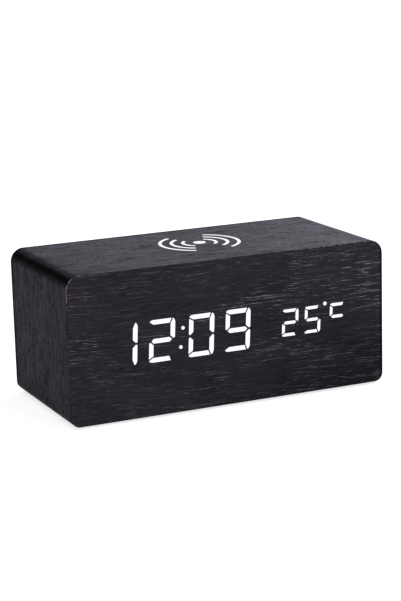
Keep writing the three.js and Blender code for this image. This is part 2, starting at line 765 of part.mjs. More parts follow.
// One wire: up from the board, round its turns from the inside to the outside, and down to the board
function coilPoints() {
  const points = [];
  const low = chargerBoardTop + LEAD_END_GAP;
  const down = (radius, y) => [
    new THREE.Vector3(radius, y, low),
    new THREE.Vector3(radius, y, low + 2 * COIL_WIRE),
    new THREE.Vector3(radius, y, coilLevel - LEAD_BEND),
    new THREE.Vector3(radius, 0.7 * y, coilLevel - 0.3 * LEAD_BEND),
  ];
  points.push(...down(COIL_INNER, -LEAD_BEND));
  const steps = COIL_TURNS * SPIRAL_STEPS;
  for (let i = 0; i <= steps; i++) {
    const angle = (2 * Math.PI * i) / SPIRAL_STEPS;
    const radius = COIL_INNER + (COIL_PITCH * i) / SPIRAL_STEPS;
    points.push(new THREE.Vector3(radius * Math.cos(angle), radius * Math.sin(angle), coilLevel));
  }
  points.push(...down(coilOuter, LEAD_BEND).reverse());
  return points;
}

function leadHoles() {
  return [
    disc(LEAD_HOLE, COIL_INNER, -LEAD_BEND, SMALL_STEPS),
    disc(LEAD_HOLE, coilOuter, LEAD_BEND, SMALL_STEPS),
  ];
}

function makeCharger() {
  const points = coilPoints();
  const gap = leastGap(points, COIL_WIRE, 10 * COIL_WIRE);
  console.log(`charging coil: least gap ${gap.toFixed(2)} mm`);
  part(topGroup, 'charging_coil', tube(points, COIL_WIRE, 6), copper);

  const disk = disc(ferriteRadius, 0, 0, 2 * ROUND_STEPS);
  const ferrite = plate(disk, leadHoles(), 'z', ferriteBottom, ferriteBottom + FERRITE);
  part(topGroup, 'ferrite_disc', ferrite, ferriteGrey);

  const sheet = roundedRect(CARRIER_WIDTH, CARRIER_DEPTH, CHARGER_POST_RADIUS);
  const pieces = [prism(sheet, 'z', carrierBottom, carrierTop)];
  chargerPosts.forEach(({ x, y }) => {
    const post = disc(CHARGER_POST_RADIUS, x, y);
    pieces.push(prism(post, 'z', chargerBoardTop + SOLDER_GAP, carrierBottom + CARRIER / 2));
  });
  const screwHoles = chargerPosts.map(({ x, y }) => disc(SCREW_RADIUS + SCREW_GAP, x, y, SMALL_STEPS));
  const tools = [...leadHoles(), ...screwHoles].map((hole) => prism(hole, 'z', chargerBoardBottom, 0));
  part(topGroup, 'coil_carrier', cut(join(pieces), tools), whitePlastic);
  makeChargerBoard(screwHoles);

  const seat = chargerBoardBottom - SOLDER_GAP;
  const screw = turned(panScrew(carrierTop + CHARGER_SCREW_BITE - seat), 'z', SMALL_STEPS).rotateX(Math.PI);
  chargerPosts.forEach(({ x, y, name }) => {
    part(topGroup, `charger_screw_${name}`, screw, steel, x, y, seat);
  });
}

// The driver chip, inductor and capacitors are soldered to the underside of the charger board.
function makeChargerBoard(screwHoles) {
  const outline = roundedRect(CHARGER_BOARD_WIDTH, CHARGER_BOARD_DEPTH, CIRCUIT_CORNER);
  const pieces = [plate(outline, screwHoles, 'z', chargerBoardBottom, chargerBoardTop)];
  const inside = chargerBoardBottom + CIRCUIT_BOARD / 2;
  const hang = (x, y, size, height) => {
    const shape = rect(x - size / 2, x + size / 2, y - size / 2, y + size / 2);
    pieces.push(prism(shape, 'z', chargerBoardBottom - height, inside));
  };
  hang(0, 0, DRIVER_SIZE, DRIVER_HEIGHT);
  hang(INDUCTOR_X, 0, INDUCTOR_SIZE, INDUCTOR_HEIGHT);
  for (let i = 0; i < CAPACITOR_COUNT; i++) {
    const y = (i - (CAPACITOR_COUNT - 1) / 2) * CAPACITOR_PITCH;
    hang(CAPACITOR_X, y, CAPACITOR_SIZE, CAPACITOR_SIZE);
  }
  part(topGroup, 'charger_board', join(pieces), greenBoard);
}

// Rear: a recessed board and its film, with openings for the controls

const rearFace = -REAR_RECESS;
const rearFilmBack = rearFace - FILM;
const rearBoardBack = rearFilmBack - BOND;
const rearBoardFront = rearBoardBack - BOARD;
const bracketBack = rearBoardFront - BOND;
const bracketFront = bracketBack - BRACKET;
const flangeRear = bracketFront - RUNNING_GAP;
const buttonFront = flangeRear - BUTTON_FLANGE;
const plungerRear = buttonFront - SOLDER_GAP;
const switchRear = plungerRear - BUTTON_TRAVEL - 4 * RUNNING_GAP;
const controlRear = switchRear - SWITCH_HEIGHT - SOLDER_GAP;
const controlFront = controlRear - CIRCUIT_BOARD;
const controlGroup = group(rearGroup, 0, 0, CONTROL_RISE);
const buttons = ['mode', 'up', 'down'].map((name, i) => ({ name, x: BUTTON_X + (1 - i) * BUTTON_PITCH }));
const stakes = [[-1, -1], [1, -1], [-1, 1], [1, 1]].map(([sideX, sideZ]) => ({
  x: sideX * (CONTROL_WIDTH / 2 - CONTROL_POST_INSET),
  z: sideZ * (CONTROL_HEIGHT / 2 - CONTROL_POST_INSET),
}));
const rearScrews = [[-1, -1], [1, -1], [-1, 1], [1, 1]].map(([sideX, sideZ]) => ({
  x: sideX * (INNER_WIDTH / 2 - BATTEN_WIDTH / 2),
  z: sideZ * REAR_SCREW_RISE,
  name: `${sideZ > 0 ? 'upper' : 'lower'}_${sideX > 0 ? 'right' : 'left'}`,
}));

// The openings for buttons, plug, sound and air, about the middle of the controls
function controlOpenings() {
  const holes = buttons.map(({ x }) => disc(BUTTON_RADIUS + BUTTON_GAP, x, 0));
  holes.push(roundedRect(PLUG_WIDTH, PLUG_THICKNESS, PLUG_THICKNESS / 3, SOCKET_X, 0));
  holes.push(disc(SOUND_HOLE, BUZZER_X, 0, SMALL_STEPS), disc(SOUND_HOLE, MICROPHONE_X, 0, SMALL_STEPS));
  for (let i = 0; i < SOUND_HOLES; i++) {
    const angle = (2 * Math.PI * i) / SOUND_HOLES;
    const x = BUZZER_X + SOUND_RING * Math.cos(angle);
    holes.push(disc(SOUND_HOLE, x, SOUND_RING * Math.sin(angle), SMALL_STEPS));
  }
  for (let i = 0; i < VENT_COUNT; i++) {
    const x = PROBE_X + (i - (VENT_COUNT - 1) / 2) * VENT_PITCH;
    holes.push(roundedRect(VENT_WIDTH, VENT_HEIGHT, 0.49 * VENT_WIDTH, x, 0));
  }
  return holes;
}

function makeRearPanel() {
  const panel = (from, to) => {
    const outline = roundedRect(BOARD_WIDTH, BOARD_HEIGHT, INNER_RADIUS, 0, -CONTROL_RISE);
    return plate(outline, controlOpenings(), 'y', from, to);
  };
  const sinks = rearScrews.map(({ x, z }) => {
    const sink = [
      [0, -REAR_SCREW_LENGTH],
      [REAR_SCREW_RADIUS + SCREW_GAP, -REAR_SCREW_LENGTH],
      [REAR_SCREW_RADIUS + SCREW_GAP, -REAR_HEAD_DEPTH],
      [REAR_HEAD_RADIUS + SCREW_GAP, 0],
      [REAR_HEAD_RADIUS + SCREW_GAP, 1],
      [0, 1],
    ];
    return turned(sink, 'y', SMALL_STEPS).translate(x, rearFace, z - CONTROL_RISE);
  });
  part(controlGroup, 'rear_board', cut(panel(rearBoardFront, rearBoardBack), sinks), fibreboard);
  part(controlGroup, 'rear_film', cut(panel(rearFilmBack, rearFace), sinks), woodFilm);
}

function makeBattens() {
  const back = rearBoardFront - BOND;
  for (const side of [-1, 1]) {
    const outer = INNER_WIDTH / 2 - BOND;
    const near = Math.min(side * outer, side * (outer - BATTEN_WIDTH));
    const far = Math.max(side * outer, side * (outer - BATTEN_WIDTH));
    const half = BOARD_HEIGHT / 2 - INNER_RADIUS;
    const strip = box(near, far, back - BATTEN_DEPTH, back, -half, half);
    const pilots = rearScrews.filter(({ x }) => x * side > 0).map(({ x, z }) => {
      const hole = disc(REAR_SCREW_RADIUS + SCREW_GAP, x, z, SMALL_STEPS);
      return prism(hole, 'y', rearFace - REAR_SCREW_LENGTH - SCREW_GAP, back + 1);
    });
    part(rearGroup, side < 0 ? 'rear_batten_left' : 'rear_batten_right', cut(strip, pilots), fibreboard);
  }
}

function makeRearScrews() {
  const profile = [
    [0, -REAR_SCREW_LENGTH],
    [REAR_SCREW_RADIUS, -REAR_SCREW_LENGTH + 2 * REAR_SCREW_RADIUS],
    [REAR_SCREW_RADIUS, -REAR_HEAD_DEPTH],
    [REAR_HEAD_RADIUS, 0],
    [0, 0],
  ];
  const arm = REAR_HEAD_RADIUS * 0.6;
  const half = CROSS_WIDTH / 2;
  const screw = cut(turned(profile, 'y'), [
    box(-arm, arm, -CROSS_DEPTH, 1, -half, half),
    box(-half, half, -CROSS_DEPTH, 1, -arm, arm),
  ]);
  rearScrews.forEach(({ x, z, name }) => {
    part(rearGroup, `rear_screw_${name}`, screw, blackSteel, x, rearFace, z);
  });
}

// Controls: buttons that press switches on a circuit board, which is staked to a bracket

function makeBracket() {
  const openings = [
    ...buttons.map(({ x }) => disc(BUTTON_RADIUS + BUTTON_GAP, x, 0)),
    roundedRect(PLUG_WIDTH, PLUG_THICKNESS, PLUG_THICKNESS / 3, SOCKET_X, 0),
    disc(BUZZER_RADIUS + BUTTON_GAP, BUZZER_X, 0),
    disc(2 * SOUND_HOLE, MICROPHONE_X, 0, SMALL_STEPS),
    roundedRect(VENT_COUNT * VENT_PITCH, VENT_HEIGHT, VENT_WIDTH / 2, PROBE_X, 0),
  ];
  const sheet = roundedRect(CONTROL_WIDTH, CONTROL_HEIGHT, CIRCUIT_CORNER);
  const pieces = [plate(sheet, openings, 'y', bracketFront, bracketBack)];
  const stakeEnd = controlFront - SOLDER_GAP - STAKE_HEAD;
  const post = [
    [0, stakeEnd],
    [STAKE_RADIUS + SCREW_GAP, stakeEnd],
    [STAKE_RADIUS + STAKE_HEAD, controlFront - SOLDER_GAP],
    [STAKE_RADIUS, controlFront - SOLDER_GAP],
    [STAKE_RADIUS, controlRear + SOLDER_GAP],
    [CONTROL_POST_RADIUS, controlRear + SOLDER_GAP],
    [CONTROL_POST_RADIUS, bracketFront + BRACKET / 2],
    [0, bracketFront + BRACKET / 2],
  ];
  stakes.forEach(({ x, z }) => pieces.push(turned(post, 'y', SMALL_STEPS).translate(x, 0, z)));
  part(controlGroup, 'control_bracket', join(pieces), blackPlastic);
}

function makeControlBoard() {
  const outline = roundedRect(CONTROL_WIDTH, CONTROL_HEIGHT, CIRCUIT_CORNER);
  const stakeHoles = stakes.map(({ x, z }) => disc(STAKE_RADIUS + SCREW_GAP, x, z, SMALL_STEPS));
  const halfHeader = RIBBON_WIDTH / 2 + HEADER_MARGIN;
  const header = rect(RIBBON_X - halfHeader, RIBBON_X + halfHeader, -HEADER_MARGIN, HEADER_MARGIN);
  const pieces = [
    plate(outline, stakeHoles, 'y', controlFront, controlRear),
    prism(header, 'y', controlFront - HEADER_HEIGHT, controlFront + CIRCUIT_BOARD / 2),
  ];
  part(controlGroup, 'control_board', join(pieces), greenBoard);
}

function makeButtons() {
  const outer = rearFace + BUTTON_PROUD;
  const cap = turned(
    [
      [0, buttonFront],
      [BUTTON_RADIUS + BUTTON_LIP, buttonFront],
      [BUTTON_RADIUS + BUTTON_LIP, flangeRear],
      [BUTTON_RADIUS, flangeRear],
      [BUTTON_RADIUS, outer - BUTTON_EDGE],
      [BUTTON_RADIUS - 0.3 * BUTTON_EDGE, outer - 0.3 * BUTTON_EDGE],
      [BUTTON_RADIUS - BUTTON_EDGE, outer],
      [0, outer],
    ],
    'y',
  );
  const half = SWITCH_SIZE / 2;
  const plungerFront = plungerRear - PLUNGER_LENGTH;
  const bore = disc(PLUNGER_RADIUS + RUNNING_GAP, 0, 0, SMALL_STEPS);
  const boreFloor = plungerFront - BUTTON_TRAVEL - RUNNING_GAP;
  const body = cut(
    prism(rect(-half, half, -half, half), 'y', controlRear + SOLDER_GAP, switchRear),
    [prism(bore, 'y', boreFloor, switchRear + 1)],
  );
  const plunger = prism(disc(PLUNGER_RADIUS, 0, 0, SMALL_STEPS), 'y', plungerFront, plungerRear);
  buttons.forEach(({ name, x }) => {
    part(controlGroup, `${name}_button`, cap, blackPlastic, x);
    part(controlGroup, `${name}_plunger`, plunger, blackPlastic, x);
    part(controlGroup, `${name}_switch`, body, chipBlack, x);
  });
}

// The power socket stands on the control board: a drawn metal shell round a contact tongue.
function makeSocket() {
  const foot = controlRear + SOLDER_GAP;
  const mouth = rearFace - SOCKET_DEPTH;
  const shell = (inset) => {
    const height = SOCKET_THICKNESS - 2 * inset;
    return roundedRect(SOCKET_WIDTH - 2 * inset, height, 0.49 * height);
  };
  const hollow = prism(shell(SOCKET_WALL), 'y', foot + SOCKET_FLOOR, mouth + 1);
  const halfTongue = SOCKET_WIDTH / 2 - 4 * SOCKET_WALL;
  const tongue = rect(-halfTongue, halfTongue, -SOCKET_TONGUE / 2, SOCKET_TONGUE / 2);
  const tongueEnd = mouth - 2 * SOCKET_WALL;
  const socket = join([
    cut(prism(shell(0), 'y', foot, mouth), [hollow]),
    prism(tongue, 'y', foot + SOCKET_FLOOR / 2, tongueEnd),
  ]);
  part(controlGroup, 'power_socket', socket, steel, SOCKET_X);
}

function makeSounders() {
  const foot = controlRear + SOLDER_GAP;
  const buzzerEnd = foot + BUZZER_HEIGHT;
  const buzzer = turned(
    [
      [0, foot],
      [BUZZER_RADIUS, foot],
      [BUZZER_RADIUS, buzzerEnd],
      [BUZZER_PORT, buzzerEnd],
      [BUZZER_PORT, buzzerEnd - 2 * BUZZER_PORT],
      [0, buzzerEnd - 2 * BUZZER_PORT],
    ],
    'y',
  );
  part(controlGroup, 'alarm_buzzer', buzzer, blackPlastic, BUZZER_X);
  const microphone = prism(disc(MICROPHONE_RADIUS), 'y', foot, foot + MICROPHONE_HEIGHT);
  part(controlGroup, 'sound_sensor', microphone, steel, MICROPHONE_X);
}

// The temperature sensor is a bead on two stiff legs, held off its board behind the vents.
function makeProbe() {
  const foot = controlRear + SOLDER_GAP;
  const bead = new THREE.SphereGeometry(PROBE_RADIUS, SMALL_STEPS, SMALL_STEPS / 2);
  const legTop = foot + PROBE_HEIGHT - PROBE_RADIUS;
  const leg = (x) => prism(disc(PROBE_LEG, x, 0, 8), 'y', foot, legTop);
  const pieces = [bead.translate(0, legTop, 0), leg(-PROBE_RADIUS / 2), leg(PROBE_RADIUS / 2)];
  part(controlGroup, 'temperature_sensor', join(pieces), chipBlack, PROBE_X);
}

// Battery bay: a box in the underside with three cells, sprung contacts and a door on lugs

const doorTop = DOOR_INSET + DOOR;
const cellAxis = doorTop + CELL_SIDE_GAP + CELL_DIAMETER / 2;
const bayTop = cellAxis + CELL_DIAMETER / 2 + CELL_SIDE_GAP;
const boxTop = bayTop + BOX_WALL;
const cellPitch = CELL_DIAMETER + CELL_GAP;
const contactFace = bayLength() / 2 - CONTACT_GAP - CONTACT;
const tabTop = boxTop + TAB_RISE;

function makeBatteryBox() {
  const halfX = batteryBoxSize.x / 2;
  const halfY = batteryBoxSize.y / 2;
  const bayX = bayLength() / 2;
  const bayY = bayWidth() / 2;
  const flangeLow = SHELL + BOND;
  const flangeX = halfX + BOX_FLANGE_WIDTH;
  const flangeY = halfY + BOX_FLANGE_WIDTH;
  const whole = join([
    box(-halfX, halfX, -halfY, halfY, DOOR_INSET, boxTop),
    box(-flangeX, flangeX, -flangeY, flangeY, flangeLow, flangeLow + BOX_FLANGE),
  ]);
  const tools = [box(-bayX, bayX, -bayY, bayY, DOOR_INSET - 1, bayTop)];
  for (const side of [-1, 1]) {
    const lugSlot = LUG_WIDTH / 2 + LUG_GAP;
    tools.push(
      box(
        -halfX - 1,
        -bayX + 1,
        side * LUG_Y - lugSlot,
        side * LUG_Y + lugSlot,
        DOOR_INSET + LUG_RISE - LUG_GAP,
        doorTop + LUG_SWING,
      ),
    );
    const plate = side * (contactFace + CONTACT / 2);
    const reach = CONTACT / 2 + TAB_GAP;
    const slot = TAB_WIDTH / 2 + TAB_GAP;
    const tabY = side * cellPitch;
    tools.push(box(plate - reach, plate + reach, tabY - slot, tabY + slot, bayTop - 1, boxTop + 1));
  }
  part(baseGroup, 'battery_box', cut(whole, tools), blackPlastic);
}

function makeDoor() {
  const endX = bayLength() / 2 - DOOR_GAP;
  const endY = bayWidth() / 2 - DOOR_GAP;
  const pieces = [box(-endX, endX, -endY, endY, DOOR_INSET, doorTop)];
  for (const side of [-1, 1]) {
    const low = side * LUG_Y - LUG_WIDTH / 2;
    const tip = -bayLength() / 2 - LUG_REACH;
    pieces.push(box(tip, 2 * LUG_REACH - endX, low, low + LUG_WIDTH, DOOR_INSET + LUG_RISE, doorTop));
  }
  const nibLow = DOOR_INSET + DOOR / 2;
  const nibY = LATCH_WIDTH / 3;
  pieces.push(box(endX - 1, endX + LATCH_NIB, -nibY, nibY, nibLow, nibLow + DOOR / 4));
  const tools = [-1, 1].map((side) => {
    const edge = (side * LATCH_WIDTH) / 2;
    const low = edge - LATCH_SLIT / 2;
    return box(endX - LATCH_LENGTH, endX + 1, low, low + LATCH_SLIT, DOOR_INSET - 1, doorTop + 1);
  });
  for (let i = 0; i < GRIP_COUNT; i++) {
    const x = endX - GRIP_PITCH * (i + 1);
    tools.push(box(x, x + GRIP_PITCH / 2, -nibY, nibY, DOOR_INSET - 1, DOOR_INSET + GRIP_GROOVE));
  }
  part(baseGroup, 'battery_door', cut(join(pieces), tools), blackPlastic);
}

// Cells lie side by side, and each points the other way from the one beside it.
function cellSide(i) {
  return i % 2 === 0 ? 1 : -1;
}

function makeCells() {
  const radius = CELL_DIAMETER / 2;
  const body = CELL_LENGTH - NUB_LENGTH;
  const cell = turned(
    [
      [0, 0],
      [radius - CELL_EDGE, 0],
      [radius, CELL_EDGE],
      [radius, body - CELL_EDGE],
      [radius - CELL_EDGE, body],
      [NUB_RADIUS, body],
      [NUB_RADIUS, CELL_LENGTH],
      [0, CELL_LENGTH],
    ],
    'x',
  );
  for (let i = 0; i < CELL_COUNT; i++) {
    const side = cellSide(i);
    const base = contactFace - CELL_PLAY / 2 - CELL_LENGTH;
    const mesh = part(baseGroup, `battery_${i + 1}`, cell, cellLabel);
    mesh.position.set(side * base, (i - 1) * cellPitch, cellAxis);
    if (side < 0) mesh.rotation.z = Math.PI;
  }
}

// A coil spring that stands on a contact plate at x 0 and reaches along +X
function springPoints() {
  const points = [new THREE.Vector3(-CONTACT / 2, SPRING_RADIUS, 0)];
  const straight = 2 * SPRING_WIRE;
  const climb = SPRING_LENGTH - 2 * straight - CELL_PLAY / 2;
  const steps = Math.round(SPRING_TURNS * HELIX_STEPS);
  for (let i = 0; i <= steps; i++) {
    const angle = (2 * Math.PI * i) / HELIX_STEPS;
    const x = straight + (climb * i) / steps;
    points.push(new THREE.Vector3(x, SPRING_RADIUS * Math.cos(angle), SPRING_RADIUS * Math.sin(angle)));
  }
  const end = points[points.length - 1].clone();
  end.x += straight;
  points.push(end);
  return points;
}

// Contact plates at one end of the bay. A plate may span two cells, and a spring stands on it where it
// meets the flat end of a cell.
function makeContact(name, side, first, last, hasTab) {
  const half = CONTACT_HEIGHT / 2;
  const low = (first - 1) * cellPitch - CONTACT_WIDTH / 2;
  const high = (last - 1) * cellPitch + CONTACT_WIDTH / 2;
  const face = side * contactFace;
  const back = face + side * CONTACT;
  const near = Math.min(face, back);
  const far = Math.max(face, back);
  const pieces = [box(near, far, low, high, cellAxis - half, cellAxis + half)];
  for (let i = first; i <= last; i++) {
    if (cellSide(i) === side) continue;
    const spring = tube(springPoints(), SPRING_WIRE, 5);
    if (side > 0) spring.rotateZ(Math.PI);
    pieces.push(spring.translate(face, (i - 1) * cellPitch, cellAxis));
  }
  if (hasTab) {
    const middleY = ((first + last) / 2 - 1) * cellPitch;
    const tab = TAB_WIDTH / 2;
    pieces.push(box(near, far, middleY - tab, middleY + tab, cellAxis, tabTop));
  }
  part(baseGroup, name, join(pieces), steel);
}

function makeContacts() {
  const gap = leastGap(springPoints(), SPRING_WIRE, 6 * SPRING_WIRE);
  console.log(`battery springs: least gap ${gap.toFixed(2)} mm`);
  const lastCell = CELL_COUNT - 1;
  makeContact('negative_contact', -1, 0, 0, true);
  makeContact('link_contact_right', 1, 0, 1, false);
  makeContact('link_contact_left', -1, 1, lastCell, false);
  makeContact('positive_contact', 1, lastCell, lastCell, true);
}

// Inner cables: two leads from the battery tabs to the control board, and a ribbon to the display

function makeLeads() {
  const boardFace = CASE_DEPTH / 2 + controlFront - LEAD_END_GAP;
  const padZ = CASE_HEIGHT / 2 + CONTROL_RISE - LEAD_PAD_DROP;
  const leads = [
    { name: 'battery_lead_negative', side: -1, material: chipBlack },
    { name: 'battery_lead_positive', side: 1, material: redWire },
  ];
  leads.forEach(({ name, side, material }) => {
    const tabX = side * (contactFace + CONTACT / 2);
    const start = new THREE.Vector3(tabX, side * cellPitch, tabTop + LEAD_END_GAP);
    const end = new THREE.Vector3(side * LEAD_PAD_X, boardFace, padZ);
    const rise = start.clone().add(new THREE.Vector3(0, 0, LEAD_STRAIGHT));
    const approach = end.clone().add(new THREE.Vector3(0, -LEAD_STRAIGHT, 0));
    const halfway = rise.clone().lerp(approach, 0.5);
    const curve = new THREE.CatmullRomCurve3([start, rise, halfway, approach, end], false, 'centripetal');
    part(baseGroup, name, tube(curve.getPoints(ROUND_STEPS), LEAD_RADIUS, 8), material);
  });
}

function makeRibbon() {
  const rearEnd = CASE_DEPTH / 2 + controlFront - HEADER_HEIGHT - LEAD_END_GAP;
  const frontEnd = -CASE_DEPTH / 2 + displayBoardBack + HEADER_HEIGHT + LEAD_END_GAP;
  const points = [
    new THREE.Vector3(RIBBON_X, rearEnd, CONTROL_RISE),
    new THREE.Vector3(RIBBON_X, rearEnd - LEAD_STRAIGHT, CONTROL_RISE),
    new THREE.Vector3(RIBBON_X, (rearEnd + frontEnd) / 2, DISPLAY_RISE - RIBBON_SAG),
    new THREE.Vector3(RIBBON_X, frontEnd + LEAD_STRAIGHT, DISPLAY_RISE),
    new THREE.Vector3(RIBBON_X, frontEnd, DISPLAY_RISE),
  ];
  const section = rect(-RIBBON_WIDTH / 2, RIBBON_WIDTH / 2, -RIBBON_THICKNESS / 2, RIBBON_THICKNESS / 2);
  const ribbon = new THREE.ExtrudeGeometry(section, {
    steps: ROUND_STEPS,
    extrudePath: new THREE.CatmullRomCurve3(points, false, 'centripetal'),
  });
  part(caseGroup, 'display_ribbon', ribbon, ribbonGrey);
}

makeSleeve();
makeCaseFilm();
makeFeet();
makeFrontFilm();
makeFrontBoard();
makeReflector();
makeLightGuide('time_light_guide', timeBars, timeBlock);
makeLightGuide('temperature_light_guide', temperatureBars, temperatureBlock);
makeDisplayBoard();
makeDisplayScrews();
makeCharger();
makeRearPanel();
makeBattens();
makeRearScrews();
makeBracket();
makeControlBoard();
makeButtons();
makeSocket();
makeSounders();
makeProbe();
makeBatteryBox();
makeDoor();
makeCells();
makeContacts();
makeLeads();
makeRibbon();

export default clock;
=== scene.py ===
"""A digital alarm clock: a black wood-grain box with lit figures and a charging pad on its top.

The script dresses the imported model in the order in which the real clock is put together.
All lengths are in metres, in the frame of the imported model.
"""
import math

import bmesh
import bpy
from mathutils import Matrix, Vector
from mathutils.geometry import tessellate_polygon


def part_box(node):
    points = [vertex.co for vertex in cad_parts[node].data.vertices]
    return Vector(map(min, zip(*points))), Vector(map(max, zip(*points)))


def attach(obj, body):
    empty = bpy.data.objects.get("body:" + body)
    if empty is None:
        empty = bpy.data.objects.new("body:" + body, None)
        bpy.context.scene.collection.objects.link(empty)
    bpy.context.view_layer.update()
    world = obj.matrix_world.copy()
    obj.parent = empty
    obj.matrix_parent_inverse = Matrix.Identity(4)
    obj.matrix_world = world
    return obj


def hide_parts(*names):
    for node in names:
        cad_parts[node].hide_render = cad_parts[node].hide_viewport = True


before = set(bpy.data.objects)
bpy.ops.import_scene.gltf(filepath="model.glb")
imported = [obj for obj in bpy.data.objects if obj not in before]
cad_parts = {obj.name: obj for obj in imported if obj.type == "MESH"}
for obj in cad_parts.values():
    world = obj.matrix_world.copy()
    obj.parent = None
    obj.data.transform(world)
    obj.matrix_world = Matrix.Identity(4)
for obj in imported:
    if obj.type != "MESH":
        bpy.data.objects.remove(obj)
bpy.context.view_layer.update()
MM = 0.001


# Fibreboard case: a sleeve of four mitred boards, a front board, a rear board and two battens.
# The board is pressed wood fibre, left brown inside and stained dark where its edge shows behind.
class Patterns:
    """The shader nodes of one node tree. Each call adds what it needs and gives what comes out."""

    def __init__(self, tree):
        self.tree = tree

    def feed(self, socket, value):
        """Links what a node gives to a socket, or sets a plain value there."""
        if isinstance(value, bpy.types.NodeSocket):
            self.tree.links.new(value, socket)
        else:
            socket.default_value = (*value, 1.0) if socket.type == "RGBA" else value

    def node(self, kind, inputs=(), **options):
        """A shader node with its options set, and its inputs fed by name or number."""
        made = self.tree.nodes.new("ShaderNode" + kind)
        for option, value in options.items():
            setattr(made, option, value)
        for socket, value in dict(inputs).items():
            self.feed(made.inputs[socket], value)
        return made

    def place(self, scale=(1.0, 1.0, 1.0)):
        """Object coordinates, stretched by scale along each axis."""
        plain = self.node("TexCoord").outputs["Object"]
        return self.node("Mapping", {"Vector": plain, "Scale": scale}).outputs[0]

    def noise(self, place, scale=1.0, detail=2.0, roughness=0.5):
        """The value of a noise pattern."""
        inputs = {"Vector": place, "Scale": scale, "Detail": detail, "Roughness": roughness}
        return self.node("TexNoise", inputs).outputs[0]

    def ranged(self, value, low, high, to_low=0.0, to_high=1.0):
        """The value's span from low to high, laid out from to_low to to_high."""
        inputs = {"Value": value, "From Min": low, "From Max": high, "To Min": to_low, "To Max": to_high}
        return self.node("MapRange", inputs).outputs[0]

    def reduced(self, operation, values):
        """The values joined into one, two at a time."""
        total = values[0]
        for value in values[1:]:
            total = self.node("Math", {0: total, 1: value}, operation=operation).outputs[0]
        return total

    def sum(self, *values):
        """The values added up."""
        return self.reduced("ADD", values)

    def product(self, *values):
        """The values multiplied together."""
        return self.reduced("MULTIPLY", values)

    def greatest(self, *values):
        """The greatest of the values."""
        return self.reduced("MAXIMUM", values)

    def tinted(self, share, first, second):
        """A colour that goes from first to second as share goes from 0 to 1."""
        return self.node("Mix", {0: share, 6: first, 7: second}, data_type="RGBA").outputs[2]


class Finish(Patterns):
    """A material with one Principled shader; plain gives its sockets that are the same all over."""

    def __init__(self, name, **plain):
        self.material = bpy.data.materials.new(name)
        self.material.use_nodes = True
        super().__init__(self.material.node_tree)
        for socket, value in plain.items():
            self.set(socket.replace("_", " "), value)

    def set(self, socket, value):
        """Feeds a socket of the shader."""
        self.feed(self.tree.nodes["Principled BSDF"].inputs[socket], value)

    def coated(self, colour, height, distance, strength):
        """The material, given its colour and bump from a height pattern."""
        bump = self.node("Bump", {"Height": height, "Distance": distance, "Strength": strength})
        self.set("Base Color", colour)
        self.set("Normal", bump.outputs[0])
        return self.material


def dress(material, *names):
    """Gives CAD nodes that stay in view this material."""
    for name in names:
        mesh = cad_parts[name].data
        mesh.materials.clear()
        mesh.materials.append(material)


def pressed_fibre(name, pale, dark):
    """Board of coarse fibres and specks, from a dark tone to a pale one."""
    finish = Finish(name, Roughness=0.85, Specular_IOR_Level=0.25)
    speck = finish.noise(finish.place(), scale=900.0, detail=4.0, roughness=0.65)
    fibre = finish.noise(finish.place((400.0, 400.0, 2200.0)), roughness=0.6)
    mixed = finish.product(speck, fibre)
    colour = finish.tinted(finish.ranged(mixed, 0.12, 0.42), dark, pale)
    return finish.coated(colour, mixed, distance=0.08 * MM, strength=0.6)


stained_board = pressed_fibre("stained_fibreboard", (0.030, 0.025, 0.022), (0.012, 0.010, 0.009))
bare_board = pressed_fibre("bare_fibreboard", (0.30, 0.19, 0.10), (0.14, 0.08, 0.04))
dress(stained_board, "case_sleeve", "rear_board")
dress(bare_board, "front_board", "rear_batten_left", "rear_batten_right")


# Wood-grain film: one sheet wrapped round the sleeve, with its grain running round the case.
# It is printed black with streaks and short pale pores, and is satin. Painted shade darkens it in
# the middle of its upper bends, next to them, and along its rear edge.
PORE = (0.150, 0.142, 0.158)
# The black that painted shade mixes into the print, on the bends and along the rims.
SHADE_BLACK = (0.0010, 0.0009, 0.0012)
PALE_PAPER_AND_HIGHLIGHT = (0.170, 0.166, 0.175)
BARE_FIBRE = (0.145, 0.097, 0.070)
FLAKE = (0.42, 0.40, 0.39)
DARK_SHARE = 0.31
GRAIN_WANDER = 2.0 * MM
# How worn an edge is, from 0 to 1: here it is only a little worn, or it has lost chips. The same
# scale sets the rim's painted shade, and its pale patches are partly a painted highlight.
FAINT_WEAR = 0.35
CHIP_WEAR = 0.62
# The flat sheets take their grain this far up the flat map, clear of the wrap's. Across these
# stretches of the front, rightward and upward, its pores change, and painted light darkens its
# lower right as painted shade and brightens its upper right as a painted highlight.
FRONT_MAP = 200.0 * MM
UNEVEN_ACROSS = (-20.0 * MM, 75.0 * MM)
UNEVEN_UP = (FRONT_MAP + 10.0 * MM, FRONT_MAP + 60.0 * MM)


def streaks(film, place, along, over, seed, detail=1.0, roughness=0.55):
    """Noise drawn out along the grain, with so many steps to the metre along and over it."""
    inputs = {"Vector": place, "Scale": (along, over, 1.0), "Location": (0.0, 0.0, seed)}
    return film.noise(film.node("Mapping", inputs).outputs[0], detail=detail, roughness=roughness)


def pore_pits(film, grain):
    """Thin long and short lines along the grain, broken up on their way."""
    line = film.ranged(streaks(film, grain, along=36.0, over=2600.0, seed=4.0), 0.63, 0.70)
    dash = film.ranged(streaks(film, grain, along=115.0, over=2500.0, seed=6.0), 0.63, 0.69)
    broken = film.ranged(streaks(film, grain, along=700.0, over=2500.0, seed=7.0), 0.38, 0.54, 0.15, 1.0)
    return film.product(film.greatest(line, dash), broken)


